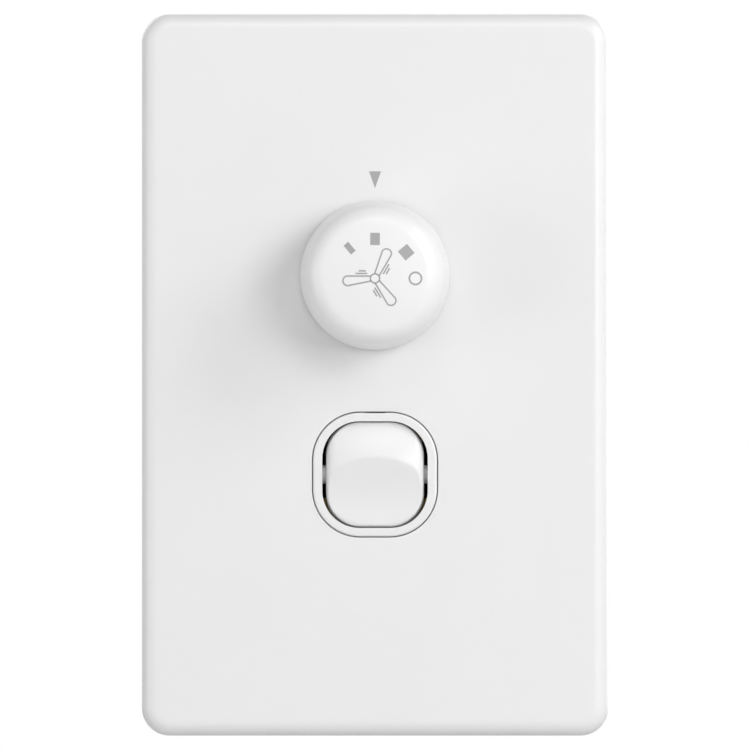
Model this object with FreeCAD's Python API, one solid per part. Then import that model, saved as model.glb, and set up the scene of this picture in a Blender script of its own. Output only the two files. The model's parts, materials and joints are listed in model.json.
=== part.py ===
import FreeCAD, Part
import math
import os

V = FreeCAD.Vector

# Frame: the wall is the plane y = 0, the front looks along -Y, +Z is up and +X is right.
# The origin lies midway between the two wall screws. Sizes are in millimetres and degrees.

# Cover plate
plate_width = 75.0
plate_height = 116.0
plate_projection = 7.5
plate_front_wall = 2.0
plate_side_wall = 1.8
plate_corner = 4.5
plate_edge_round = 2.4
plate_wall_gap = 0.3
pry_notch_width = 8.0
pry_notch_depth = 1.0

# Places of the two mechanisms on the plate
controller_z = 16.0
switch_z = -16.0

# Grid plate behind the cover
grid_side_gap = 0.4
grid_rim_wall = 1.6
grid_rim_front_gap = 0.3
grid_web_setback = 1.2
grid_web_thickness = 2.0
wall_screw_spacing = 84.0
wall_screw_hole_r = 2.1
wall_screw_boss_r = 4.5
wall_screw_head_r = 3.8
grid_rib_x = 27.0
grid_rib_thickness = 1.5
grid_rib_wall_gap = 0.5
claw_z = 30.0
claw_length = 8.0
claw_height = 1.0
claw_reach = 1.1
claw_depth = 4.5
claw_clearance = 0.4

# Snap hooks that hold each mechanism to the grid plate
hook_width = 6.0
hook_thickness = 1.1
hook_barb = 0.7
hook_barb_height = 0.9
hook_clearance = 0.2
hook_web_gap = 0.1
controller_hook_x = 18.2

# Switch bezel and housing
bezel_corner = 7.6
bezel_side_wall = 1.475
bezel_end_wall = 1.38
bezel_proud = 0.3
bezel_edge_round = 0.35
bezel_cover_gap = 0.15
bezel_grid_gap = 0.2
bezel_open_corner = 6.0
bezel_lip = 1.0
bezel_nick_width = 3.2
bezel_nick_depth = 0.08
switch_body_width = 23.0
switch_body_height = 24.0
switch_body_corner = 1.5
switch_body_depth = 11.7
switch_shoulder = 2.0
switch_wall = 1.6
switch_base_depth = 11.1
switch_base_rear_wall = 1.9
latch_thickness = 0.8
latch_width = 6.0
latch_length = 5.6
latch_window = 1.6
latch_gap = 0.1

# Rocker, drawn about its own pivot before it is tilted to rest
rocker_pivot_depth = 3.4
rocker_width = 15.75
rocker_end_r = 8.7
rocker_corner = 5.5
rocker_end_gap = 0.2
rocker_end_overlap = 0.13
rocker_side_gap = 0.6
rocker_crest = 5.0
rocker_crest_offset = 1.8
rocker_crown_r = 31.0
rocker_side_round = 2.0
rocker_upper_r = 18.0
rocker_upper_slope = -2.0
rocker_lower_slope = 26.0
rocker_land_slope = 12.0
rocker_lower_facet = 3.2
rocker_lower_curve = 4.8
rocker_skirt = 1.6
rocker_wall = 1.3
rocker_tilt = 12.0
trunnion_r = 1.5
trunnion_running_gap = 0.05
trunnion_end_gap = 0.25
trunnion_length = 1.5
stem_wall = 1.0
stem_reach = 3.0
stem_bore_depth = 5.4
stem_rib_thickness = 0.9

# Plunger and its spring inside the rocker's stem
plunger_r = 1.65
plunger_running_gap = 0.1
plunger_reach = 8.0
plunger_length = 7.0
spring_wire_r = 0.22
spring_turns = 4
spring_side_gap = 0.15
spring_end_gap = 0.05

# See-saw contact arm
cradle_gap = 0.1
cradle_half_width = 2.6
arm_width = 5.0
arm_thickness = 0.8
arm_ridge_gap = 0.1
arm_wing_drop = 0.9
arm_wing_start = 4.6
arm_half_length = 8.0
arm_contact_z = 6.8
arm_tilt = 6.0
arm_ear_thickness = 0.4
arm_ear_length = 2.6
contact_r = 1.3
contact_edge_height = 0.5
contact_dome_height = 0.3
contact_air_gap = 0.08
ridge_r = 0.7
ridge_side_gap = 0.2

# Brass terminals of both mechanisms
controller_terminal_width = 6.0
terminal_height = 6.4
terminal_pocket_gap = 0.1
wire_bore_r = 1.8
wire_entry_r = 2.1
terminal_screw_r = 1.5
terminal_screw_gap = 0.02
terminal_head_r = 2.2
terminal_head_height = 1.2
terminal_head_gap = 0.3
terminal_screw_tip_gap = 0.05
screw_slot_width = 0.6
screw_slot_depth = 0.5
switch_pocket_side_wall = 1.0
switch_pocket_divider = 1.2
switch_head_recess = 0.4
switch_wire_bore_length = 7.6
terminal_strip_thickness = 0.8
terminal_strip_width = 3.2
riser_width = 2.6
riser_rocker_inset = 0.2
fixed_contact_r = 1.5

# Controller housing
controller_width = 44.0
mechanism_gap = 2.0
controller_corner = 2.0
controller_front_wall = 2.0
controller_side_wall = 1.6
controller_depth = 27.3
controller_rear_wall = 2.0
cover_post_r = 2.2
cover_post_inset = 1.8
cover_screw_r = 1.2
cover_screw_length = 9.0
cover_screw_head_r = 2.0
cover_screw_head_height = 1.2
cover_screw_gap = 0.05
board_ledge_width = 1.0
board_ledge_length = 12.0

# Circuit board and what is soldered to it
board_depth = 10.3
board_thickness = 1.6
board_side_gap = 0.2
board_post_gap = 0.4
lead_r = 0.4
lead_hole_gap = 0.1
lead_tail = 0.5
capacitor_edge_round = 0.8
capacitor_large_width = 32.0
capacitor_large_depth = 12.0
capacitor_small_width = 26.0
capacitor_small_depth = 10.0
capacitor_large_share = 0.61
capacitor_wall_gap = 0.75
capacitor_spacing = 1.55
capacitor_terminal_gap = 2.4
capacitor_lead_inset = 1.2
resistor_r = 1.2
resistor_length = 6.4
resistor_x = 16.8
resistor_lead_r = 0.3
resistor_lead_reach = 1.6
resistor_board_gap = 0.1
controller_terminal_x = 12.0
controller_wire_bore_length = 10.0
terminal_rear_gap = 0.3

# Selector: shaft, bush, rotor and wiper
shaft_r = 3.0
shaft_running_gap = 0.05
shaft_fixed_gap = 0.02
shaft_flat = 2.3
shaft_tail_r = 1.5
shaft_tail_length = 3.0
bush_r = 4.75
bush_flange_r = 7.0
bush_flange_thickness = 1.2
bush_hole_gap = 0.1
bush_end_proud = 0.6
washer_r = 6.6
washer_thickness = 0.6
nut_across_flats = 12.0
nut_thickness = 1.8
nut_thread_gap = 0.03
nut_cover_gap = 0.7
rotor_r = 8.5
rotor_thickness = 4.0
rotor_flange_gap = 0.3
rotor_boss_r = 4.0
rotor_boss_height = 2.0
notch_r = 1.2
notch_depth = 0.8
speed_turns = (-40.0, 0.0, 50.0, 90.0)
detent_angle = 270.0
detent_gap = 0.2
leaf_thickness = 0.35
leaf_width = 3.4
leaf_half_length = 11.6
leaf_rotor_gap = 0.9
leaf_slot_gap = 0.05
leaf_post_length = 2.0
leaf_post_height = 3.0
wiper_thickness = 0.5
wiper_width = 3.0
wiper_disc_r = 4.3
wiper_pad_radius = 9.8
wiper_ring_radius = 6.9
wiper_tip_length = 0.9
wiper_tip_r = 0.8
wiper_tip_gap = 0.05
pad_thickness = 0.2
pad_width = 2.4
pad_half_angle = 9.0
pad_ring_width = 2.2

# Knob
knob_base_r = 12.0
knob_top_r = 11.15
knob_face_r = 8.2
knob_height = 15.0
knob_plate_gap = 0.4
knob_face_dome = 0.25
knob_wall = 1.7
knob_hub_r = 5.2
knob_hub_gap = 0.8
knob_bore_gap = 0.03
knob_bore_depth = 9.2
knob_shaft_end_gap = 0.4
knob_rib_count = 6
knob_rib_thickness = 1.0
knob_rib_setback = 3.0
clip_thickness = 0.35
clip_gap = 0.05
clip_width = 2.6
clip_length = 6.0

# How close two depths must be to count as one plane
same_depth = 1e-4

# Depths along Y that follow from the sizes above
plate_front = -plate_projection
cover_inside = plate_front + plate_front_wall
web_front = cover_inside + grid_web_setback
web_back = web_front + grid_web_thickness
bezel_front = plate_front - bezel_proud
bezel_open_width = rocker_width + 2 * rocker_side_gap
bezel_open_height = 2 * (rocker_end_r - rocker_end_overlap)
bezel_width = bezel_open_width + 2 * bezel_side_wall
bezel_height = bezel_open_height + 2 * bezel_end_wall
pivot_y = bezel_front + rocker_pivot_depth
switch_joint = web_back + switch_body_depth
switch_chamber_front = web_back + switch_shoulder
switch_rear = switch_joint + switch_base_depth
switch_block_rear = switch_rear - switch_base_rear_wall - terminal_pocket_gap
controller_rear = web_back + controller_depth
controller_inside = web_back + controller_front_wall
board_front = controller_inside + board_depth
board_back = board_front + board_thickness
flange_back = controller_inside + bush_flange_thickness
rotor_front = flange_back + rotor_flange_gap
rotor_back = rotor_front + rotor_thickness
boss_back = rotor_back + rotor_boss_height
bush_front = plate_front - bush_end_proud
knob_base = plate_front - knob_plate_gap
knob_front = knob_base - knob_height
hub_base = bush_front - knob_hub_gap
bore_end = hub_base - knob_bore_depth
shaft_front = bore_end + knob_shaft_end_gap
pad_front = board_front - pad_thickness

# The contact arm rocks on a ridge just behind the middle of its cradle
cradle_r = plunger_reach + cradle_gap
arm_middle_back = pivot_y + cradle_r + arm_thickness
ridge_y = arm_middle_back + arm_ridge_gap + ridge_r
arm_wing_front = arm_middle_back + arm_wing_drop
arm_wing_back = arm_wing_front + arm_thickness
fixed_strip_back = switch_joint
fixed_strip_front = fixed_strip_back - terminal_strip_thickness

# Housing outlines
cover_inner_width = plate_width - 2 * plate_side_wall
cover_inner_height = plate_height - 2 * plate_side_wall
grid_width = cover_inner_width - 2 * grid_side_gap
grid_height = cover_inner_height - 2 * grid_side_gap
grid_corner = plate_corner - plate_side_wall - grid_side_gap
switch_chamber_width = switch_body_width - 2 * switch_wall
switch_chamber_height = switch_body_height - 2 * switch_wall
controller_height = 2 * (controller_z - switch_z - switch_body_height / 2 - mechanism_gap)
controller_room_width = controller_width - 2 * controller_side_wall
controller_room_height = controller_height - 2 * controller_side_wall
switch_pocket_width = (switch_body_width - 2 * switch_pocket_side_wall
                       - 2 * switch_pocket_divider) / 3
switch_terminal_width = switch_pocket_width - 2 * terminal_pocket_gap
switch_terminal_pitch = switch_pocket_width + switch_pocket_divider
switch_bore_z = (switch_z - switch_body_height / 2 + switch_head_recess + terminal_head_height
                 + terminal_height / 2)
controller_bore_z = (controller_z + controller_room_height / 2 - terminal_head_height
                     - terminal_height / 2)
switch_screw_y = switch_block_rear - switch_wire_bore_length / 2
controller_block_rear = controller_rear - terminal_rear_gap
controller_screw_y = controller_block_rear - controller_wire_bore_length / 2

# The capacitors share the height that the terminals and the gaps leave free
capacitor_room = (controller_room_height - terminal_height - terminal_head_height
                  - capacitor_wall_gap - capacitor_spacing - capacitor_terminal_gap)
capacitor_large_height = capacitor_room * capacitor_large_share
capacitor_small_height = capacitor_room - capacitor_large_height
capacitor_large_z = (controller_z - controller_room_height / 2 + capacitor_wall_gap
                     + capacitor_large_height / 2)
capacitor_small_z = (controller_bore_z - terminal_height / 2 - capacitor_terminal_gap
                     - capacitor_small_height / 2)

nut_corner_r = nut_across_flats / math.sqrt(3)
knob_opening_r = nut_corner_r + nut_cover_gap


def span_box(x0, x1, y0, y1, z0, z1):
    return Part.makeBox(x1 - x0, y1 - y0, z1 - z0, V(x0, y0, z0))


def rod_y(radius, y0, y1, x, z):
    return Part.makeCylinder(radius, y1 - y0, V(x, y0, z), V(0, 1, 0))


def rod_x(radius, x0, x1, y, z):
    return Part.makeCylinder(radius, x1 - x0, V(x0, y, z), V(1, 0, 0))


def rod_z(radius, z0, z1, x, y):
    return Part.makeCylinder(radius, z1 - z0, V(x, y, z0), V(0, 0, 1))


def rounded_prism(width, height, corner, y0, y1, x=0.0, z=0.0):
    """A prism along Y on a rectangle with round corners."""
    w, h = width / 2, height / 2
    k = corner * (1 - math.sqrt(0.5))
    edges = []
    turns = [(1, 1), (-1, 1), (-1, -1), (1, -1)]
    for i, (sx, sz) in enumerate(turns):
        along_z = V(x + sx * w, y0, z + sz * (h - corner))
        along_x = V(x + sx * (w - corner), y0, z + sz * h)
        middle = V(x + sx * (w - k), y0, z + sz * (h - k))
        first, last = (along_z, along_x) if sx * sz > 0 else (along_x, along_z)
        edges.append(Part.Arc(first, middle, last).toShape())
        nx, nz = turns[(i + 1) % 4]
        if nx * nz > 0:
            start = V(x + nx * w, y0, z + nz * (h - corner))
        else:
            start = V(x + nx * (w - corner), y0, z + nz * h)
        edges.append(Part.LineSegment(last, start).toShape())
    return Part.Face(Part.Wire(edges)).extrude(V(0, y1 - y0, 0))


def edges_at_depth(shape, depth):
    """The edges that lie in the plane y = depth."""
    return [edge for edge in shape.Edges
            if abs(edge.BoundBox.YMin - depth) < same_depth
            and abs(edge.BoundBox.YMax - depth) < same_depth]


def fuse_all(shapes):
    return shapes[0].multiFuse(shapes[1:]).removeSplitter()


def mirrored(shape):
    return shape.mirror(V(0, 0, 0), V(1, 0, 0))


def turned_about(shape, axis_point, axis, degrees):
    copy = shape.copy()
    copy.rotate(axis_point, axis, degrees)
    return copy


def save(name, shape):
    shape.exportStep("parts/" + name + ".step")


def claw(z, side):
    """One inward claw on a side wall of the cover."""
    wall = side * cover_inner_width / 2
    inner = wall - side * claw_reach
    y0 = plate_front + claw_depth
    return span_box(min(wall, inner), max(wall, inner), y0, y0 + claw_height,
                    z - claw_length / 2, z + claw_length / 2)


def cover_plate():
    rim = -plate_wall_gap
    shell = rounded_prism(plate_width, plate_height, plate_corner, plate_front, rim)
    shell = shell.makeFillet(plate_edge_round, edges_at_depth(shell, plate_front))
    hollow = rounded_prism(cover_inner_width, cover_inner_height, plate_corner - plate_side_wall,
                           cover_inside, rim)
    knob_opening = rod_y(knob_opening_r, plate_front, cover_inside, 0, controller_z)
    bezel_opening = rounded_prism(bezel_width + 2 * bezel_cover_gap,
                                  bezel_height + 2 * bezel_cover_gap,
                                  bezel_corner + bezel_cover_gap,
                                  plate_front, cover_inside, 0, switch_z)
    pry_notch = span_box(-pry_notch_width / 2, pry_notch_width / 2, rim - pry_notch_depth, rim,
                         -plate_height / 2, -cover_inner_height / 2)
    shell = shell.cut([hollow, knob_opening, bezel_opening, pry_notch])
    claws = [claw(z, side) for z in (-claw_z, claw_z) for side in (-1, 1)]
    return fuse_all([shell] + claws)


def hook_notch(offset, along_x):
    """The window in the grid's web that one snap hook passes through, at its offset outward."""
    inner = offset - hook_clearance
    outer = offset + hook_thickness + hook_clearance
    half = hook_width / 2 + hook_clearance
    if along_x:
        return span_box(inner, outer, web_front, web_back, controller_z - half, controller_z + half)
    return span_box(-half, half, web_front, web_back, switch_z + bezel_height / 2 - bezel_corner / 2,
                    switch_z + outer)


def switch_hook_offset():
    return switch_body_height / 2 - hook_thickness - hook_clearance


def grid_plate():
    rim_front = cover_inside + grid_rim_front_gap
    inner_width = grid_width - 2 * grid_rim_wall
    inner_height = grid_height - 2 * grid_rim_wall
    inner_corner = grid_corner - grid_rim_wall
    frame = rounded_prism(grid_width, grid_height, grid_corner, rim_front, 0)
    frame = frame.cut(rounded_prism(inner_width, inner_height, inner_corner, rim_front, 0))
    web = rounded_prism(inner_width, inner_height, inner_corner, web_front, web_back)
    ribs = []
    for side in (-1, 1):
        ribs.append(span_box(side * grid_rib_x - grid_rib_thickness / 2,
                             side * grid_rib_x + grid_rib_thickness / 2,
                             web_back, -grid_rib_wall_gap,
                             -wall_screw_spacing / 2, wall_screw_spacing / 2))
        ribs.append(span_box(-grid_rib_x, grid_rib_x, web_back, -grid_rib_wall_gap,
                             side * wall_screw_spacing / 2 - grid_rib_thickness / 2,
                             side * wall_screw_spacing / 2 + grid_rib_thickness / 2))
    bosses = [rod_y(wall_screw_boss_r, web_front, 0, 0, side * wall_screw_spacing / 2)
              for side in (-1, 1)]
    body = fuse_all([frame, web] + ribs + bosses)
    cuts = []
    for side in (-1, 1):
        z = side * wall_screw_spacing / 2
        cuts.append(rod_y(wall_screw_hole_r, web_front, 0, 0, z))
        sink = wall_screw_head_r - wall_screw_hole_r
        cuts.append(Part.makeCone(wall_screw_head_r, wall_screw_hole_r, sink,
                                  V(0, web_front, z), V(0, 1, 0)))
    cuts.append(rod_y(bush_r + 2 * bush_hole_gap, web_front, web_back, 0, controller_z))
    cuts.append(rounded_prism(bezel_width + 2 * bezel_grid_gap, bezel_height + 2 * bezel_grid_gap,
                              bezel_corner + bezel_grid_gap, web_front, web_back, 0, switch_z))
    upper = hook_notch(switch_hook_offset(), False)
    cuts.append(upper)
    cuts.append(upper.mirror(V(0, 0, switch_z), V(0, 0, 1)))
    right = hook_notch(controller_hook_x, True)
    cuts += [right, mirrored(right)]
    window_front = plate_front + claw_depth - claw_clearance
    for z in (-claw_z, claw_z):
        for side in (-1, 1):
            outer = side * grid_width / 2
            inner = outer - side * grid_rim_wall
            cuts.append(span_box(min(outer, inner), max(outer, inner), window_front,
                                 window_front + claw_height + 2 * claw_clearance,
                                 z - claw_length / 2 - claw_clearance,
                                 z + claw_length / 2 + claw_clearance))
    return body.cut(cuts)


def snap_hook(offset, width):
    """A hook that stands on y = web_back, its barb over the front of the web, drawn along +Z."""
    tip = web_front - hook_web_gap - hook_barb_height
    barb = web_front - hook_web_gap
    points = [V(0, web_back, offset), V(0, tip, offset), V(0, tip, offset + hook_thickness),
              V(0, barb, offset + hook_thickness + hook_barb),
              V(0, barb, offset + hook_thickness), V(0, web_back, offset + hook_thickness)]
    face = Part.Face(Part.makePolygon(points + points[:1]))
    hook = face.extrude(V(width, 0, 0))
    hook.translate(V(-width / 2, 0, 0))
    return hook


def switch_housing():
    ring = rounded_prism(bezel_width, bezel_height, bezel_corner, bezel_front, web_back,
                         0, switch_z)
    ring = ring.makeFillet(bezel_edge_round, edges_at_depth(ring, bezel_front))
    bezel_top = switch_z + bezel_height / 2
    ring = ring.cut(span_box(-bezel_nick_width / 2, bezel_nick_width / 2, bezel_front, web_front,
                             bezel_top - bezel_nick_depth, bezel_top))
    body = rounded_prism(switch_body_width, switch_body_height, switch_body_corner,
                         web_back, switch_joint, 0, switch_z)
    hook = snap_hook(switch_hook_offset(), hook_width)
    hook.translate(V(0, 0, switch_z))
    lower_hook = hook.mirror(V(0, 0, switch_z), V(0, 0, 1))
    solid = fuse_all([ring, body, hook, lower_hook] + switch_latches())
    lip_back = bezel_front + bezel_lip
    mouth = rounded_prism(bezel_open_width, bezel_open_height, bezel_open_corner,
                          bezel_front, lip_back, 0, switch_z)
    relief_height = 2 * (rocker_end_r + rocker_end_gap)
    relief = rounded_prism(bezel_open_width, relief_height, bezel_open_corner,
                           lip_back, switch_chamber_front, 0, switch_z)
    chamber = rounded_prism(switch_chamber_width, switch_chamber_height, switch_body_corner / 2,
                            switch_chamber_front, switch_joint, 0, switch_z)
    socket_end = rocker_width / 2 + trunnion_length + trunnion_end_gap
    sockets = rod_x(trunnion_r + trunnion_running_gap, -socket_end, socket_end, pivot_y, switch_z)
    return solid.cut([mouth, relief, chamber, sockets])


def switch_latches():
    """Two side loops of the housing that snap over nubs of the base."""
    loops = []
    inner = switch_body_width / 2
    for side in (-1, 1):
        x0 = side * inner
        x1 = side * (inner + latch_thickness)
        root = span_box(min(x0, x1), max(x0, x1), web_back + switch_shoulder, switch_joint,
                        switch_z - latch_width / 2, switch_z + latch_width / 2)
        tongue = span_box(min(x0, x1) + (latch_gap if side > 0 else 0),
                          max(x0, x1) - (0 if side > 0 else latch_gap),
                          switch_joint, switch_joint + latch_length,
                          switch_z - latch_width / 2, switch_z + latch_width / 2)
        window = latch_nub(side, latch_gap)
        loops.append(root.fuse(tongue.cut(window)))
    return loops


def latch_nub(side, grow):
    x0 = side * (switch_body_width / 2)
    x1 = side * (switch_body_width / 2 + latch_thickness)
    y0 = switch_joint + latch_length - 2 * latch_window
    return span_box(min(x0, x1), max(x0, x1), y0 - grow, y0 + latch_window + grow,
                    switch_z - latch_width / 4 - grow, switch_z + latch_width / 4 + grow)


def switch_terminal_places():
    """The x of the common, way 1 and way 2 tunnels."""
    return (-switch_terminal_pitch, 0.0, switch_terminal_pitch)


def switch_base():
    base = rounded_prism(switch_body_width, switch_body_height, switch_body_corner,
                         switch_joint, switch_rear, 0, switch_z)
    base = fuse_all([base, latch_nub(-1, 0), latch_nub(1, 0)])
    cuts = []
    bottom = switch_z - switch_body_height / 2
    for x in switch_terminal_places():
        half_w = switch_pocket_width / 2
        half_h = terminal_height / 2 + terminal_pocket_gap
        cuts.append(span_box(x - half_w, x + half_w, switch_joint,
                             switch_block_rear + terminal_pocket_gap,
                             switch_bore_z - half_h, switch_bore_z + half_h))
        cuts.append(rod_y(wire_entry_r, switch_block_rear, switch_rear, x, switch_bore_z))
        cuts.append(rod_z(terminal_head_r + terminal_head_gap, bottom, switch_bore_z,
                          x, switch_screw_y))
    return base.cut(cuts)


def tunnel_block(x, z, width, y0, y1, bore_length, screw_y, screw_side):
    """A brass block with a wire bore open to the rear and a screw hole from screw_side of Z."""
    block = span_box(x - width / 2, x + width / 2, y0, y1,
                     z - terminal_height / 2, z + terminal_height / 2)
    bore = rod_y(wire_bore_r, y1 - bore_length, y1, x, z)
    outer = z + screw_side * terminal_height / 2
    hole = rod_z(terminal_screw_r + terminal_screw_gap, min(z, outer), max(z, outer), x, screw_y)
    return block.cut([bore, hole])


def terminal_screw(x, y, z, side):
    """A slotted screw whose head rests on the block and whose tip stops short of the bore."""
    seat = z + side * terminal_height / 2
    tip = z + side * (wire_bore_r + terminal_screw_tip_gap)
    top = seat + side * terminal_head_height
    shank = rod_z(terminal_screw_r, min(tip, seat), max(tip, seat), x, y)
    head = rod_z(terminal_head_r, min(seat, top), max(seat, top), x, y)
    slot_floor = top - side * screw_slot_depth
    slot = span_box(x - terminal_head_r, x + terminal_head_r,
                    y - screw_slot_width / 2, y + screw_slot_width / 2,
                    min(slot_floor, top), max(slot_floor, top))
    return shank.fuse(head).removeSplitter().cut(slot)


def switch_block(x):
    return tunnel_block(x, switch_bore_z, switch_terminal_width, switch_joint, switch_block_rear,
                        switch_wire_bore_length, switch_screw_y, -1)


def strip(x0, x1, z0, z1):
    """A flat brass strip on the front face of the base."""
    return span_box(x0, x1, fixed_strip_front, fixed_strip_back, z0, z1)


def fixed_contact(z):
    """The fixed rivet, its face just behind the closed moving contact."""
    return rod_y(fixed_contact_r, closed_contact_depth() + contact_air_gap, fixed_strip_front, 0, z)


def closed_contact_depth():
    """How far back the moving contact's dome reaches with the arm fully tilted."""
    dome_r = (contact_r ** 2 + contact_dome_height ** 2) / (2 * contact_dome_height)
    tip = arm_wing_back + contact_edge_height + contact_dome_height
    centre = tip - dome_r - ridge_y
    swing = math.radians(arm_tilt)
    return ridge_y + centre * math.cos(swing) + arm_contact_z * math.sin(swing) + dome_r


def riser_span():
    """The x of a riser's inner and outer side, kept behind the rocker."""
    outer = rocker_width / 2 - riser_rocker_inset
    return outer - riser_width, outer


def common_terminal():
    inner, outer = riser_span()
    half = terminal_strip_width / 2
    riser = strip(-outer, -inner, switch_bore_z, switch_z + half)
    cross = strip(-outer, ridge_half_width(), switch_z - half, switch_z + half)
    post = span_box(-ridge_half_width(), ridge_half_width(), ridge_y, fixed_strip_back,
                    switch_z - ridge_r, switch_z + ridge_r)
    ridge = rod_x(ridge_r, -ridge_half_width(), ridge_half_width(), ridge_y, switch_z)
    return fuse_all([switch_block(switch_terminal_places()[0]), riser, cross, post, ridge])


def ridge_half_width():
    return arm_width / 2 - arm_ear_thickness - ridge_side_gap


def way_1_terminal():
    half = terminal_strip_width / 2
    z = switch_z - arm_contact_z
    pad = strip(-half, half, z - half, z + half)
    return fuse_all([switch_block(0.0), pad, fixed_contact(z)])


def way_2_terminal():
    inner, outer = riser_span()
    half = terminal_strip_width / 2
    z = switch_z + arm_contact_z
    riser = strip(inner, outer, switch_bore_z, z + half)
    cross = strip(-half, outer, z - half, z + half)
    return fuse_all([switch_block(switch_terminal_places()[2]), riser, cross, fixed_contact(z)])


def switch_terminal_screws():
    return Part.makeCompound([terminal_screw(x, switch_screw_y, switch_bore_z, -1)
                              for x in switch_terminal_places()])


def contact_arm():
    """The brass see-saw, drawn level and then tilted to rest about the ridge."""
    def cradle(z, radius):
        return pivot_y + math.sqrt(radius ** 2 - z ** 2)

    back_r = cradle_r + arm_thickness
    edge = cradle_half_width
    front_wing = arm_wing_start
    back_wing = arm_wing_start - arm_thickness / 2
    tip = arm_half_length

    def at(y, z):
        return V(-arm_width / 2, y, switch_z + z)

    front = Part.Arc(at(cradle(edge, cradle_r), edge), at(pivot_y + cradle_r, 0),
                     at(cradle(edge, cradle_r), -edge)).toShape()
    back = Part.Arc(at(cradle(edge, back_r), -edge), at(pivot_y + back_r, 0),
                    at(cradle(edge, back_r), edge)).toShape()
    lower = Part.makePolygon([at(cradle(edge, cradle_r), -edge), at(arm_wing_front, -front_wing),
                              at(arm_wing_front, -tip), at(arm_wing_back, -tip),
                              at(arm_wing_back, -back_wing), at(cradle(edge, back_r), -edge)])
    upper = Part.makePolygon([at(cradle(edge, back_r), edge), at(arm_wing_back, back_wing),
                              at(arm_wing_back, tip), at(arm_wing_front, tip),
                              at(arm_wing_front, front_wing), at(cradle(edge, cradle_r), edge)])
    outline = Part.Wire([front] + lower.Edges + [back] + upper.Edges)
    arm = Part.Face(outline).extrude(V(arm_width, 0, 0))
    pieces = [arm]
    for z in (-arm_contact_z, arm_contact_z):
        pieces.append(moving_contact(switch_z + z))
    for side in (-1, 1):
        outer = side * arm_width / 2
        inner = outer - side * arm_ear_thickness
        pieces.append(span_box(min(outer, inner), max(outer, inner),
                               arm_middle_back - arm_thickness / 2,
                               arm_middle_back + arm_ear_length - arm_thickness,
                               switch_z - ridge_r, switch_z + ridge_r))
    level = fuse_all(pieces)
    return turned_about(level, V(0, ridge_y, switch_z), V(1, 0, 0), arm_tilt)


def moving_contact(z):
    dome_r = (contact_r ** 2 + contact_dome_height ** 2) / (2 * contact_dome_height)
    tip = arm_wing_back + contact_edge_height + contact_dome_height
    stud = rod_y(contact_r, arm_wing_back, tip, 0, z)
    return stud.common(Part.makeSphere(dome_r, V(0, tip - dome_r, z)))


def at_rocker(y, z):
    """A point in the rocker's own plane, y forward of its pivot being negative."""
    return V(0, pivot_y + y, switch_z + z)


def facet_prism(inset, back):
    """The prism along X behind the lower face: straight, then curved, then the edge land."""
    steep = math.radians(rocker_lower_slope)
    flat = math.radians(rocker_land_slope)
    mean = (steep + flat) / 2
    reach = rocker_end_r + 2 * rocker_crest_offset
    y0 = -rocker_crest + inset / math.cos(steep)
    y_top, z_top = y0 - reach * math.tan(steep), rocker_crest_offset + reach
    y1 = y0 + rocker_lower_facet * math.tan(steep)
    z1 = rocker_crest_offset - rocker_lower_facet
    y2 = y1 + rocker_lower_curve * math.tan(mean)
    z2 = z1 - rocker_lower_curve
    bulge = math.hypot(y2 - y1, rocker_lower_curve) / 2 * math.tan((steep - flat) / 4)
    ym = (y1 + y2) / 2 + bulge * math.cos(mean)
    zm = (z1 + z2) / 2 + bulge * math.sin(mean)
    z3 = z2 - reach
    y3 = y2 + reach * math.tan(flat)
    rest = Part.makePolygon([at_rocker(y3, z3), at_rocker(back, z3), at_rocker(back, z_top),
                             at_rocker(y_top, z_top), at_rocker(y1, z1)])
    curve = Part.Arc(at_rocker(y1, z1), at_rocker(ym, zm), at_rocker(y2, z2)).toShape()
    land = Part.LineSegment(at_rocker(y2, z2), at_rocker(y3, z3)).toShape()
    face = Part.Face(Part.Wire(Part.sortEdges([curve, land] + rest.Edges)[0]))
    prism = face.extrude(V(rocker_width, 0, 0))
    prism.translate(V(-rocker_width / 2, 0, 0))
    return prism


def crown_barrel(inset):
    """The crown across the rocker, rounded into its sides and turned about an axis behind it."""
    half = rocker_width / 2 - inset
    crown_r = rocker_crown_r - inset
    side_r = max(rocker_side_round - inset, 0.3)
    start = math.radians(rocker_upper_slope)
    axis_y = pivot_y - rocker_crest + rocker_upper_r * math.cos(start)
    axis_z = switch_z + rocker_crest_offset - rocker_upper_r * math.sin(start)
    centre_y = rocker_crown_r - rocker_upper_r
    corner_x = half - side_r
    corner_y = centre_y - math.sqrt((crown_r - side_r) ** 2 - corner_x ** 2)
    scale = crown_r / (crown_r - side_r)
    touch_x = corner_x * scale
    touch_y = centre_y + (corner_y - centre_y) * scale
    mid_angle = (math.atan2(touch_y - corner_y, touch_x - corner_x)) / 2
    mid_x = corner_x + side_r * math.cos(mid_angle)
    mid_y = corner_y + side_r * math.sin(mid_angle)

    def at(x, y):
        return V(x, axis_y + y, axis_z)

    edges = [
        Part.Arc(at(-touch_x, touch_y), at(0, centre_y - crown_r), at(touch_x, touch_y)).toShape(),
        Part.Arc(at(touch_x, touch_y), at(mid_x, mid_y), at(half, corner_y)).toShape(),
        Part.LineSegment(at(half, corner_y), at(half, 0)).toShape(),
        Part.LineSegment(at(half, 0), at(-half, 0)).toShape(),
        Part.LineSegment(at(-half, 0), at(-half, corner_y)).toShape(),
        Part.Arc(at(-half, corner_y), at(-mid_x, mid_y), at(-touch_x, touch_y)).toShape(),
    ]
    face = Part.Face(Part.Wire(edges))
    return face.revolve(V(0, axis_y, axis_z), V(1, 0, 0), 360)


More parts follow.
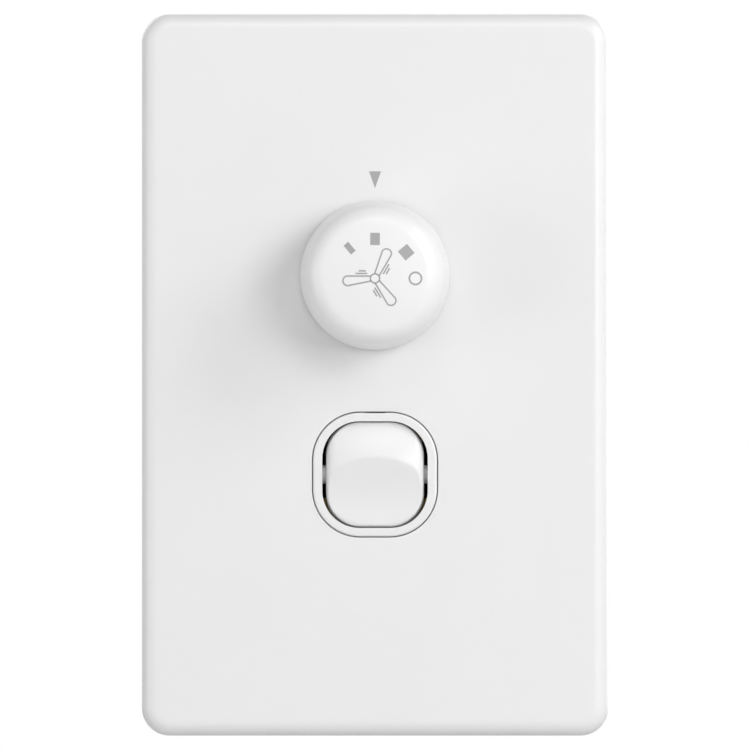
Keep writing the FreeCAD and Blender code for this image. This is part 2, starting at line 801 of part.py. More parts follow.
def rocker_barrel(inset):
    """The rocker's end outline turned about the pivot, so that its ends clear the bezel."""
    half = rocker_width / 2 - inset
    end = rocker_end_r - inset
    corner = rocker_corner - inset
    k = corner * (1 - math.sqrt(0.5))

    def at(x, r):
        return V(x, pivot_y, switch_z + r)

    edges = [
        Part.LineSegment(at(-half, 0), at(-half, end - corner)).toShape(),
        Part.Arc(at(-half, end - corner), at(-half + k, end - k), at(-half + corner, end)).toShape(),
        Part.LineSegment(at(-half + corner, end), at(half - corner, end)).toShape(),
        Part.Arc(at(half - corner, end), at(half - k, end - k), at(half, end - corner)).toShape(),
        Part.LineSegment(at(half, end - corner), at(half, 0)).toShape(),
        Part.LineSegment(at(half, 0), at(-half, 0)).toShape(),
    ]
    face = Part.Face(Part.Wire(edges))
    return face.revolve(V(0, pivot_y, switch_z), V(1, 0, 0), 360)


def rocker_form(inset, back):
    return rocker_barrel(inset).common(facet_prism(inset, back)).common(crown_barrel(inset))


def stem_bore_r():
    return plunger_r + plunger_running_gap


def rocker():
    outer = rocker_form(0.0, rocker_skirt)
    inner = rocker_form(rocker_wall, rocker_skirt)
    shell = outer.cut(inner)
    stem_r = stem_bore_r() + stem_wall
    crest_inside = pivot_y - rocker_crest + rocker_wall
    stem = rod_y(stem_r, crest_inside, pivot_y + stem_reach, 0, switch_z)
    inside = rocker_width / 2 - rocker_wall / 2
    rib = span_box(-inside, inside, crest_inside, pivot_y + rocker_skirt - rocker_wall,
                   switch_z - stem_rib_thickness / 2, switch_z + stem_rib_thickness / 2)
    carried = stem.fuse(rib).common(rocker_form(rocker_wall / 2, stem_reach))
    end = rocker_width / 2 + trunnion_length
    wall_inside = rocker_width / 2 - rocker_wall
    pins = [rod_x(trunnion_r, wall_inside, end, pivot_y, switch_z),
            rod_x(trunnion_r, -end, -wall_inside, pivot_y, switch_z)]
    body = fuse_all([shell, carried] + pins)
    bore = rod_y(stem_bore_r(), pivot_y + stem_reach - stem_bore_depth, pivot_y + stem_reach,
                 0, switch_z)
    return to_rest(body.cut(bore))


def to_rest(shape):
    """Tilts what the rocker carries so that its upper half is pressed in."""
    return turned_about(shape, V(0, pivot_y, switch_z), V(1, 0, 0), -rocker_tilt)


def plunger():
    tip_centre = pivot_y + plunger_reach - plunger_r
    back = pivot_y + plunger_reach - plunger_length
    body = rod_y(plunger_r, back, tip_centre, 0, switch_z)
    ball = Part.makeSphere(plunger_r, V(0, tip_centre, switch_z))
    return to_rest(body.fuse(ball).removeSplitter())


def plunger_spring():
    """A coil drawn as half turns, each one tilted so that the next goes on from it smoothly."""
    start = pivot_y + stem_reach - stem_bore_depth + spring_end_gap + spring_wire_r
    stop = pivot_y + plunger_reach - plunger_length - spring_end_gap - spring_wire_r
    coil_r = stem_bore_r() - spring_side_gap - spring_wire_r
    half_turns = 2 * spring_turns
    rise = (stop - start) / half_turns
    arcs = []
    for i in range(half_turns):
        side = coil_r if i % 2 == 0 else -coil_r
        y = start + i * rise
        arcs.append(Part.Arc(V(side, y, switch_z), V(0, y + rise / 2, switch_z + side),
                             V(-side, y + rise, switch_z)).toShape())
    section = Part.Wire(Part.makeCircle(spring_wire_r, V(coil_r, start, switch_z), V(0, 0, 1)))
    return to_rest(Part.Wire(arcs).makePipeShell([section], True, False))


def post_places():
    """The four corner posts that take the rear cover's screws."""
    x = controller_room_width / 2 - cover_post_inset
    z = controller_room_height / 2 - cover_post_inset
    return [(sx * x, controller_z + sz * z) for sx in (-1, 1) for sz in (-1, 1)]


def leaf_inner_offset():
    return rotor_r + leaf_rotor_gap


def leaf_post(side):
    """A slotted post of the housing that holds one end of the detent leaf."""
    outer = side * leaf_half_length
    inner = outer - side * leaf_post_length
    middle = controller_z - leaf_inner_offset() - leaf_thickness / 2
    block = span_box(min(outer, inner), max(outer, inner), controller_inside, rotor_back,
                     middle - leaf_post_height / 2, middle + leaf_post_height / 2)
    slot_half = leaf_thickness / 2 + leaf_slot_gap
    slot = span_box(min(outer, inner), max(outer, inner), rotor_front - leaf_slot_gap, rotor_back,
                    middle - slot_half, middle + slot_half)
    return block.cut(slot)


def controller_housing():
    box = rounded_prism(controller_width, controller_height, controller_corner,
                        web_back, controller_rear, 0, controller_z)
    room = rounded_prism(controller_room_width, controller_room_height,
                         controller_corner - controller_side_wall,
                         controller_inside, controller_rear, 0, controller_z)
    box = box.cut(room)
    grow = [rod_y(cover_post_r, controller_inside, controller_rear, x, z)
            for x, z in post_places()]
    room_edge = controller_room_width / 2
    for side in (-1, 1):
        x0, x1 = side * (room_edge - board_ledge_width), side * room_edge
        grow.append(span_box(min(x0, x1), max(x0, x1), controller_inside, board_front,
                             controller_z - board_ledge_length / 2,
                             controller_z + board_ledge_length / 2))
        grow.append(leaf_post(side))
    hook = turned_about(snap_hook(controller_hook_x, hook_width), V(0, 0, 0), V(0, 1, 0), 90)
    hook.translate(V(0, 0, controller_z))
    grow += [hook, mirrored(hook)]
    body = fuse_all([box] + grow)
    cuts = [rod_y(bush_r + bush_hole_gap, web_back, controller_inside, 0, controller_z)]
    for x, z in post_places():
        cuts.append(rod_y(cover_screw_r + cover_screw_gap, controller_rear - cover_screw_length,
                          controller_rear, x, z))
    top = controller_z + controller_height / 2
    for x in (-controller_terminal_x, controller_terminal_x):
        cuts.append(rod_z(terminal_head_r + terminal_head_gap, top - controller_side_wall, top,
                          x, controller_screw_y))
    return body.cut(cuts)


def controller_rear_cover():
    back = controller_rear + controller_rear_wall
    lid = rounded_prism(controller_width, controller_height, controller_corner,
                        controller_rear, back, 0, controller_z)
    cuts = []
    for x, z in post_places():
        cuts.append(rod_y(cover_screw_r + cover_screw_gap, controller_rear, back, x, z))
        cuts.append(rod_y(cover_screw_head_r + 2 * cover_screw_gap,
                          back - cover_screw_head_height, back, x, z))
    for x in (-controller_terminal_x, controller_terminal_x):
        cuts.append(rod_y(wire_entry_r, controller_rear, back, x, controller_bore_z))
    return lid.cut(cuts)


def controller_cover_screws():
    back = controller_rear + controller_rear_wall
    screws = []
    for x, z in post_places():
        seat = back - cover_screw_head_height
        shank = rod_y(cover_screw_r, controller_rear - cover_screw_length + cover_screw_gap,
                      seat, x, z)
        head = rod_y(cover_screw_head_r, seat, back, x, z)
        slot = span_box(x - cover_screw_head_r, x + cover_screw_head_r, back - screw_slot_depth,
                        back, z - screw_slot_width / 2, z + screw_slot_width / 2)
        screws.append(shank.fuse(head).removeSplitter().cut(slot))
    return Part.makeCompound(screws)


def capacitor_places():
    """Each capacitor's width, depth and height, and where its middle is on the board."""
    large = (capacitor_large_width, capacitor_large_depth, capacitor_large_height)
    small = (capacitor_small_width, capacitor_small_depth, capacitor_small_height)
    return [(large, capacitor_large_z), (small, capacitor_small_z)]


def circuit_board():
    board = span_box(-controller_room_width / 2 + board_side_gap,
                     controller_room_width / 2 - board_side_gap, board_front, board_back,
                     controller_z - controller_room_height / 2 + board_side_gap,
                     controller_z + controller_room_height / 2 - board_side_gap)
    cuts = []
    for x, z in post_places():
        cuts.append(rod_y(cover_post_r + board_post_gap, board_front, board_back, x, z))
        out_x = math.copysign(controller_room_width / 2, x)
        out_z = controller_z + math.copysign(controller_room_height / 2, z - controller_z)
        cuts.append(span_box(min(x, out_x), max(x, out_x), board_front, board_back,
                             min(z, out_z), max(z, out_z)))
    cuts.append(rod_y(shaft_tail_r + shaft_running_gap, board_front, board_back, 0, controller_z))
    for size, z in capacitor_places():
        for x in lead_places(size):
            cuts.append(rod_y(lead_r + lead_hole_gap, board_front, board_back, x, z))
    for x, z in resistor_lead_places():
        cuts.append(rod_y(resistor_lead_r + lead_hole_gap, board_front, board_back, x, z))
    return board.cut(cuts)


def lead_places(size):
    reach = size[0] / 2 - capacitor_lead_inset
    return (-reach, reach)


def capacitor(size, z):
    width, depth, height = size
    case = span_box(-width / 2, width / 2, board_back, board_back + depth,
                    z - height / 2, z + height / 2)
    case = case.makeFillet(capacitor_edge_round, case.Edges)
    leads = [rod_y(lead_r, board_front - lead_tail, board_back + depth / 2, x, z)
             for x in lead_places(size)]
    return fuse_all([case] + leads)


def resistor_lead_places():
    reach = resistor_length / 2 + resistor_lead_reach
    return [(sx * resistor_x, capacitor_small_z + sz * reach) for sx in (-1, 1) for sz in (-1, 1)]


def bleed_resistors():
    """Two axial resistors, each with its leads bent down into the board."""
    middle = capacitor_small_z
    y = board_back + resistor_r + resistor_board_gap
    reach = resistor_length / 2 + resistor_lead_reach
    pieces = []
    for x in (-resistor_x, resistor_x):
        case = rod_z(resistor_r, middle - resistor_length / 2, middle + resistor_length / 2, x, y)
        wire = rod_z(resistor_lead_r, middle - reach, middle + reach, x, y)
        legs = [rod_y(resistor_lead_r, board_front - lead_tail, y, x, middle + s * reach)
                for s in (-1, 1)]
        knees = [Part.makeSphere(resistor_lead_r, V(x, y, middle + s * reach)) for s in (-1, 1)]
        pieces.append(fuse_all([case, wire] + legs + knees))
    return Part.makeCompound(pieces)


def ring_segment(inner, outer, y0, y1, middle_angle, half_angle):
    """Part of a flat ring about the knob axis, its angles turned from +X towards +Z."""
    low = math.radians(middle_angle - half_angle)
    high = math.radians(middle_angle + half_angle)
    mid = math.radians(middle_angle)

    def at(radius, angle):
        return V(radius * math.cos(angle), y0, controller_z + radius * math.sin(angle))

    edges = [
        Part.Arc(at(outer, low), at(outer, mid), at(outer, high)).toShape(),
        Part.LineSegment(at(outer, high), at(inner, high)).toShape(),
        Part.Arc(at(inner, high), at(inner, mid), at(inner, low)).toShape(),
        Part.LineSegment(at(inner, low), at(outer, low)).toShape(),
    ]
    return Part.Face(Part.Wire(edges)).extrude(V(0, y1 - y0, 0))


def contact_pads():
    """One pad for each live speed and the ring that feeds the wiper."""
    pads = []
    for turn in speed_turns[:3]:
        pads.append(ring_segment(wiper_pad_radius - pad_width / 2, wiper_pad_radius + pad_width / 2,
                                 pad_front, board_front, 90.0 + turn, pad_half_angle))
    outer = rod_y(wiper_ring_radius + pad_ring_width / 2, pad_front, board_front, 0, controller_z)
    inner = rod_y(wiper_ring_radius - pad_ring_width / 2, pad_front, board_front, 0, controller_z)
    pads.append(outer.cut(inner))
    return Part.makeCompound(pads)


def controller_terminal(x):
    return tunnel_block(x, controller_bore_z, controller_terminal_width, board_back,
                        controller_block_rear, controller_wire_bore_length, controller_screw_y, 1)


def controller_terminal_screws():
    return Part.makeCompound([terminal_screw(x, controller_screw_y, controller_bore_z, 1)
                              for x in (-controller_terminal_x, controller_terminal_x)])


def shaft_bush():
    flange = rod_y(bush_flange_r, controller_inside, flange_back, 0, controller_z)
    barrel = rod_y(bush_r, bush_front, flange_back, 0, controller_z)
    bore = rod_y(shaft_r + shaft_running_gap, bush_front, flange_back, 0, controller_z)
    return fuse_all([flange, barrel]).cut(bore)


def lock_washer():
    y0 = web_front - washer_thickness
    disc = rod_y(washer_r, y0, web_front, 0, controller_z)
    return disc.cut(rod_y(bush_r + bush_hole_gap, y0, web_front, 0, controller_z))


def bush_nut():
    back = web_front - washer_thickness
    front = back - nut_thickness
    corners = []
    for i in range(7):
        angle = math.radians(60 * i)
        corners.append(V(nut_corner_r * math.cos(angle), front,
                         controller_z + nut_corner_r * math.sin(angle)))
    hexagon = Part.Face(Part.makePolygon(corners)).extrude(V(0, nut_thickness, 0))
    return hexagon.cut(rod_y(bush_r + nut_thread_gap, front, back, 0, controller_z))


def selector_shaft():
    tail_end = board_front + board_thickness - shaft_running_gap
    body = rod_y(shaft_r, shaft_front, tail_end - shaft_tail_length, 0, controller_z)
    tail = rod_y(shaft_tail_r, shaft_front, tail_end, 0, controller_z)
    flat = span_box(-shaft_r, shaft_r, shaft_front, hub_base + clip_thickness + clip_gap,
                    controller_z + shaft_flat, controller_z + shaft_r)
    return fuse_all([body, tail]).cut(flat)


def rotor():
    """The detent wheel, with a notch for each speed and a boss that carries the wiper."""
    disc = rod_y(rotor_r, rotor_front, rotor_back, 0, controller_z)
    boss = rod_y(rotor_boss_r, rotor_back, boss_back, 0, controller_z)
    cuts = [rod_y(shaft_r + shaft_fixed_gap, rotor_front, boss_back, 0, controller_z)]
    notch_centre = rotor_r - notch_depth + notch_r
    for turn in speed_turns:
        angle = math.radians(detent_angle - turn)
        cuts.append(rod_y(notch_r, rotor_front, rotor_back, notch_centre * math.cos(angle),
                          controller_z + notch_centre * math.sin(angle)))
    return fuse_all([disc, boss]).cut(cuts)


def detent_leaf():
    """A steel strip under the rotor whose round bump sits in one notch."""
    inner = controller_z - leaf_inner_offset()
    outer = inner - leaf_thickness
    bump_r = notch_r - detent_gap
    bump_z = controller_z - (rotor_r - notch_depth + notch_r)
    half = (leaf_width - 2 * leaf_slot_gap) / 2
    y0 = (rotor_front + rotor_back) / 2 - half
    y1 = y0 + 2 * half
    band = span_box(-leaf_half_length, leaf_half_length, y0, y1, outer, inner)
    bump = rod_y(bump_r, y0, y1, 0, bump_z)
    core = rod_y(bump_r - leaf_thickness, y0, y1, 0, bump_z)
    gap = span_box(-bump_r + leaf_thickness, bump_r - leaf_thickness, y0, y1, outer, bump_z)
    below = span_box(-bump_r, bump_r, y0, y1, bump_z - bump_r, outer)
    sides = span_box(-bump_r, bump_r, y0, y1, outer, bump_z)
    return fuse_all([band, bump, sides]).cut([core, gap, below])


def wiper_arm(radius, start):
    """A sprung arm along +Z that bends back to its tip at the given radius."""
    tip_y = pad_front - wiper_tip_gap
    end_front = tip_y - wiper_tip_r + wiper_thickness / 2
    end_back = end_front + wiper_thickness
    z0 = controller_z + start
    z1 = controller_z + radius - wiper_tip_length
    z2 = controller_z + radius + wiper_tip_length
    points = [V(0, boss_back, z0), V(0, end_front, z1), V(0, end_front, z2), V(0, end_back, z2),
              V(0, end_back, z1), V(0, boss_back + wiper_thickness, z0)]
    arm = Part.Face(Part.makePolygon(points + points[:1])).extrude(V(wiper_width, 0, 0))
    arm.translate(V(-wiper_width / 2, 0, 0))
    tip = Part.makeSphere(wiper_tip_r, V(0, tip_y - wiper_tip_r, controller_z + radius))
    ahead = span_box(-wiper_width, wiper_width, end_front - 2 * wiper_tip_r, end_front, z1, z2)
    return [arm, tip.cut(ahead)]


def wiper():
    y1 = boss_back + wiper_thickness
    disc = rod_y(wiper_disc_r, boss_back, y1, 0, controller_z)
    long_arm = wiper_arm(wiper_pad_radius, rotor_boss_r - wiper_thickness)
    short_arm = [turned_about(piece, V(0, 0, controller_z), V(0, 1, 0), 180)
                 for piece in wiper_arm(wiper_ring_radius, rotor_boss_r - wiper_thickness)]
    body = fuse_all([disc] + long_arm + short_arm)
    return body.cut(rod_y(shaft_r + shaft_fixed_gap, boss_back, y1, 0, controller_z))


def knob_profile():
    """The closed outline of the knob's outside, radius along X, turned about the Y axis."""
    round_r = knob_top_r - knob_face_r
    rim_y = knob_front + knob_face_dome
    side_end = rim_y + round_r
    k = round_r * (1 - math.sqrt(0.5))

    def at(radius, y):
        return V(radius, y, 0)

    dome_r = (knob_face_r ** 2 + knob_face_dome ** 2) / (2 * knob_face_dome)
    mid = knob_face_r / 2
    mid_y = knob_front + dome_r - math.sqrt(dome_r ** 2 - mid ** 2)
    return [
        Part.LineSegment(at(0, knob_base), at(knob_base_r, knob_base)).toShape(),
        Part.LineSegment(at(knob_base_r, knob_base), at(knob_top_r, side_end)).toShape(),
        Part.Arc(at(knob_top_r, side_end), at(knob_top_r - k, rim_y + k),
                 at(knob_face_r, rim_y)).toShape(),
        Part.Arc(at(knob_face_r, rim_y), at(mid, mid_y), at(0, knob_front)).toShape(),
        Part.LineSegment(at(0, knob_front), at(0, knob_base)).toShape(),
    ]


def knob():
    outside = Part.Face(Part.Wire(knob_profile())).revolve(V(0, 0, 0), V(0, 1, 0), 360)
    inner_base_r = knob_base_r - knob_wall
    inner_top_r = knob_top_r - knob_wall
    roof = knob_front + knob_wall + knob_face_dome + (knob_top_r - knob_face_r) / 2
    hollow = Part.makeCone(inner_top_r, inner_base_r, knob_base - roof, V(0, roof, 0), V(0, 1, 0))
    shell = outside.cut(hollow)
    hub = rod_y(knob_hub_r, roof, hub_base, 0, 0)
    ribs = []
    for i in range(knob_rib_count):
        rib = span_box(0, inner_top_r + knob_wall / 2, roof, knob_base - knob_rib_setback,
                       -knob_rib_thickness / 2, knob_rib_thickness / 2)
        ribs.append(turned_about(rib, V(0, 0, 0), V(0, 1, 0), 360.0 * i / knob_rib_count))
    body = fuse_all([shell, hub] + ribs)
    flat = shaft_flat + clip_thickness + 2 * clip_gap
    bore = rod_y(shaft_r + knob_bore_gap, bore_end, hub_base, 0, 0)
    bore = bore.cut(span_box(-shaft_r, shaft_r, bore_end, hub_base, flat, 2 * shaft_r))
    body = body.cut(bore)
    body.translate(V(0, 0, controller_z))
    return body


def knob_clip():
    """A steel leaf between the shaft's flat and the flat of the knob's bore."""
    z0 = controller_z + shaft_flat + clip_gap
    leaf = span_box(-clip_width / 2, clip_width / 2, hub_base - clip_length, hub_base,
                    z0, z0 + clip_thickness)
    lip_top = controller_z + knob_hub_r
    lip = span_box(-clip_width / 2, clip_width / 2, hub_base, hub_base + clip_thickness,
                   z0, lip_top)
    return fuse_all([leaf, lip])


os.makedirs("parts", exist_ok=True)
save("cover_plate", cover_plate())
save("grid_plate", grid_plate())
save("switch_housing", switch_housing())
save("switch_base", switch_base())
save("rocker", rocker())
save("plunger", plunger())
save("plunger_spring", plunger_spring())
save("contact_arm", contact_arm())
save("common_terminal", common_terminal())
save("way_1_terminal", way_1_terminal())
save("way_2_terminal", way_2_terminal())
save("switch_terminal_screws", switch_terminal_screws())
save("controller_housing", controller_housing())
save("controller_rear_cover", controller_rear_cover())
save("controller_cover_screws", controller_cover_screws())
save("circuit_board", circuit_board())
save("contact_pads", contact_pads())
save("capacitor_large", capacitor(*capacitor_places()[0]))
save("capacitor_small", capacitor(*capacitor_places()[1]))
save("bleed_resistors", bleed_resistors())
save("line_terminal", controller_terminal(-controller_terminal_x))
save("fan_terminal", controller_terminal(controller_terminal_x))
save("controller_terminal_screws", controller_terminal_screws())
save("shaft_bush", shaft_bush())
save("lock_washer", lock_washer())
save("bush_nut", bush_nut())
save("selector_shaft", selector_shaft())
save("rotor", rotor())
save("detent_leaf", detent_leaf())
save("wiper", wiper())
save("knob", knob())
save("knob_clip", knob_clip())
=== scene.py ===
import json
import math

import bmesh
import bpy
from mathutils import Matrix, Vector


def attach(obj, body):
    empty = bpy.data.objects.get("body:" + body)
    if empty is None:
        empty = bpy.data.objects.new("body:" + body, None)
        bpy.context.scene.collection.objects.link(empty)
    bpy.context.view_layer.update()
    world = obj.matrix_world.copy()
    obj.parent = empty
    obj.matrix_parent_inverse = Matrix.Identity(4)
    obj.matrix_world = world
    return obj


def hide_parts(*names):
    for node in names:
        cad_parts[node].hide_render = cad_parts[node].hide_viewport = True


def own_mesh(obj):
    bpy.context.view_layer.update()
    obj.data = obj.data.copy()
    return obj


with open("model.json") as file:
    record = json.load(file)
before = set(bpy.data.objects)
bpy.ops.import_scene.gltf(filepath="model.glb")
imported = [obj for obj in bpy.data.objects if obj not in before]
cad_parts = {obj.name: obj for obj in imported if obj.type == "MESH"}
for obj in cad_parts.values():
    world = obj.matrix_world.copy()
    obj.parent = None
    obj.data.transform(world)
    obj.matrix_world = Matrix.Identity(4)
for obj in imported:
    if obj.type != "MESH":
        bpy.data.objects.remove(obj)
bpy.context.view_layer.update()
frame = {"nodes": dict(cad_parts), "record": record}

mm = 0.001

# Cover plate, in millimetres
plate_width = 75.0
plate_height = 116.0
plate_front = -7.5
plate_rim = -0.3
plate_corner = 4.5
plate_edge_round = 2.4
plate_side_wall = 1.8
plate_front_wall = 2.0
cover_inside = plate_front + plate_front_wall
opening_edge_round = 0.2
flat_margin = 0.3
knob_opening_r = 7.628
pry_notch_width = 8.0
pry_notch_depth = 1.0
pry_notch_run_out = 1.0
claw_z = 30.0
claw_length = 8.0
claw_height = 1.0
claw_reach = 1.1
claw_depth = 4.5

# Where the mechanisms sit
controller_z = 16.0
switch_z = -16.0

# Bezel of the switch
bezel_size = 19.9
bezel_corner = 7.6
bezel_cover_gap = 0.15

# Rocker, drawn about its pivot and then tilted to rest, its slopes and tilt in degrees
pivot_y = -4.4
rocker_half_width = 7.875
rocker_end_r = 8.7
rocker_corner = 5.5
rocker_crest = 5.0
rocker_crest_offset = 1.8
rocker_crown_r = 31.0
rocker_side_round = 2.0
rocker_upper_r = 18.0
rocker_upper_slope = -2.0
rocker_lower_slope = 26.0
rocker_land_slope = 12.0
rocker_lower_facet = 3.2
rocker_lower_curve = 4.8
rocker_skirt = 1.6
rocker_wall = 1.3
rocker_tilt = 12.0
rocker_edge_round = 0.2
rocker_crest_round = 0.15
rocker_rib_thickness = 2 * rocker_wall / 3
trunnion_r = 1.5
trunnion_end = 9.375
trunnion_chamfer = 0.2
stem_r = 2.75
stem_bore_r = 1.75
stem_reach = 3.0
stem_bore_depth = 5.4
stem_root_share = 0.6

# Spring in the rocker's stem, from the bore's end to the plunger's back
spring_wire_r = 0.22
spring_turns = 4
spring_side_gap = 0.15
spring_end_gap = 0.05
plunger_back = 1.0

# Knob
knob_base_r = 12.0
knob_top_r = 11.15
knob_face_r = 8.2
knob_base = -7.9
knob_front = -22.9
knob_face_dome = 0.5
knob_wall = 1.7
knob_hub_r = 5.2
knob_hub_base = -8.9
knob_bore_r = 3.03
knob_bore_end = -18.1
knob_rib_count = 6
knob_rib_thickness = 1.0
knob_rib_base = -10.9
knob_base_round = 0.15
knob_dome_r = (knob_face_r ** 2 + knob_face_dome ** 2) / (2 * knob_face_dome)

# Print: line width, how far it stands out and reaches in, its longest piece, how far the fan sign
# sits below the knob's axis and the least squared cosine that a mitre is divided by
print_line = 0.25
print_proud = 0.012
print_sunk = 0.05
print_step = 0.25
print_drop = 0.60
mitre_limit = 0.15

# How finely round forms are divided
around = 160
corner_steps = 14
round_steps = 12
base_round_steps = 4
side_steps = 10
face_steps = 16
stem_sides = 48
ring_sides = 48
arc_steps = 24
bar_steps = 8
rocker_rays = 320
rocker_rings = 70
rocker_skirt_rings = 10
rocker_ring_crowding = 1.35
rocker_inner_shares = (1.0, 0.9, 0.75, 0.55, 0.3)
search_steps = 40
coil_turn_steps = 40
coil_wire_sides = 12


def new_object(name, bm, angle=30.0):
    """A mesh object from bm, in metres, shaded smooth up to the given edge angle."""
    bmesh.ops.recalc_face_normals(bm, faces=bm.faces)
    mesh = bpy.data.meshes.new(name)
    bm.to_mesh(mesh)
    bm.free()
    mesh.transform(Matrix.Scale(mm, 4))
    for polygon in mesh.polygons:
        polygon.use_smooth = True
    mesh.set_sharp_from_angle(angle=math.radians(angle))
    obj = bpy.data.objects.new(name, mesh)
    bpy.context.scene.collection.objects.link(obj)
    return obj


def rounded_loop(width, height, corner, y, z=0.0):
    """Points round a rectangle with round corners, the same number for every size."""
    w, h = width / 2, height / 2
    points = []
    for turn, (sx, sz) in enumerate([(1, 1), (-1, 1), (-1, -1), (1, -1)]):
        cx, cz = sx * (w - corner), z + sz * (h - corner)
        for i in range(corner_steps + 1):
            a = math.radians(90 * (turn + i / corner_steps))
            points.append((cx + corner * math.cos(a), y, cz + corner * math.sin(a)))
    return points


def circle_loop(radius, y, z=0.0, count=around):
    return [(radius * math.cos(2 * math.pi * i / count), y,
             z + radius * math.sin(2 * math.pi * i / count)) for i in range(count)]


def add_loop(bm, points):
    return [bm.verts.new(point) for point in points]


def skin(bm, loops):
    """Quads between each loop of vertices and the next."""
    for a, b in zip(loops, loops[1:]):
        for i in range(len(a)):
            j = (i + 1) % len(a)
            bm.faces.new((a[i], a[j], b[j], b[i]))


def loop_edges(bm, loop):
    return [bm.edges.get((loop[i], loop[(i + 1) % len(loop)])) or
            bm.edges.new((loop[i], loop[(i + 1) % len(loop)])) for i in range(len(loop))]


def fill_flat(bm, loops):
    """A flat face inside the first loop and outside the others."""
    edges = [e for loop in loops for e in loop_edges(bm, loop)]
    bmesh.ops.triangle_fill(bm, use_beauty=True, use_dissolve=False, edges=edges,
                            normal=(0, -1, 0))


def add_box(bm, x0, x1, y0, y1, z0, z1):
    made = bmesh.ops.create_cube(bm, size=1.0)
    bmesh.ops.transform(bm, verts=made["verts"],
                        matrix=Matrix.Translation(((x0 + x1) / 2, (y0 + y1) / 2, (z0 + z1) / 2))
                        @ Matrix.Diagonal((x1 - x0, y1 - y0, z1 - z0, 1)))
    return made["verts"]


def opening_loops(outline, y_front, y_back):
    """Loops down an opening with a slightly rounded front edge. outline(grow, y) gives points."""
    loops = [outline(opening_edge_round + flat_margin, y_front)]
    for i in range(round_steps // 2 + 1):
        a = math.radians(90 * i / (round_steps // 2))
        grow = opening_edge_round * (1 - math.sin(a))
        loops.append(outline(grow, y_front + opening_edge_round * (1 - math.cos(a))))
    loops.append(outline(0.0, y_back))
    return loops


def notched_loop(width, height, corner, y):
    """A rounded loop with four more points below, which cut the pry notch where it is the rim."""
    points = rounded_loop(width, height, corner, y)
    half, low = pry_notch_width / 2, -height / 2
    if y == plate_rim:
        step = [(-half, y, low), (-half, y - pry_notch_depth, low),
                (half, y - pry_notch_depth, low), (half, y, low)]
    else:
        wide = half + pry_notch_run_out
        step = [(x, y, low) for x in (-wide, -half, half, wide)]
    before = 3 * (corner_steps + 1)
    return points[:before] + step + points[before:]


def make_cover():
    """The plate's shell with its two openings and the four claws inside its walls."""
    bm = bmesh.new()

    def outline(inset, y):
        """The plate's outline at a depth, moved inward."""
        return notched_loop(plate_width - 2 * inset, plate_height - 2 * inset,
                            plate_corner - inset, y)

    outer = [outline(0, plate_rim), outline(0, plate_front + plate_edge_round)]
    for i in range(1, round_steps + 1):
        a = math.radians(90 * i / round_steps)
        outer.append(outline(plate_edge_round * (1 - math.cos(a)),
                             plate_front + plate_edge_round * (1 - math.sin(a))))
    outer.append(outline(plate_edge_round + flat_margin, plate_front))

    def knob_opening(grow, y):
        return circle_loop(knob_opening_r + grow, y, controller_z)

    def bezel_opening(grow, y):
        size = bezel_size + 2 * (bezel_cover_gap + grow)
        return rounded_loop(size, size, bezel_corner + bezel_cover_gap + grow, y, switch_z)

    outer = [add_loop(bm, points) for points in outer]
    inside = [add_loop(bm, outline(plate_side_wall, y)) for y in (plate_rim, cover_inside)]
    openings = []
    for opening in (knob_opening, bezel_opening):
        openings.append([add_loop(bm, points)
                         for points in opening_loops(opening, plate_front, cover_inside)])
    skin(bm, [inside[1], inside[0]] + outer)
    for loops in openings:
        skin(bm, loops)
    fill_flat(bm, [outer[-1]] + [loops[0] for loops in openings])
    fill_flat(bm, [inside[1]] + [loops[-1] for loops in openings])
    for z in (-claw_z, claw_z):
        for side in (-1, 1):
            wall = side * (plate_width / 2 - plate_side_wall)
            tip = wall - side * claw_reach
            y0 = plate_front + claw_depth
            add_box(bm, min(wall, tip), max(wall, tip), y0, y0 + claw_height,
                    z - claw_length / 2, z + claw_length / 2)
    return new_object("cover_plate_skin", bm)


def lathe(bm, profile, z=0.0, count=around):
    """Turns (radius, y) points about a line along Y. A radius of zero becomes one vertex."""
    rings = []
    for radius, y in profile:
        if radius == 0:
            rings.append([bm.verts.new((0, y, z))])
        else:
            rings.append(add_loop(bm, circle_loop(radius, y, z, count)))
    for a, b in zip(rings, rings[1:]):
        for i in range(count):
            j = (i + 1) % count
            if len(a) == 1:
                bm.faces.new((a[0], b[j], b[i]))
            elif len(b) == 1:
                bm.faces.new((a[i], a[j], b[0]))
            else:
                bm.faces.new((a[i], a[j], b[j], b[i]))
    return rings


def knob_face_y(radius):
    """Depth of the knob's slightly domed face."""
    return knob_front + knob_dome_r - math.sqrt(knob_dome_r ** 2 - radius ** 2)


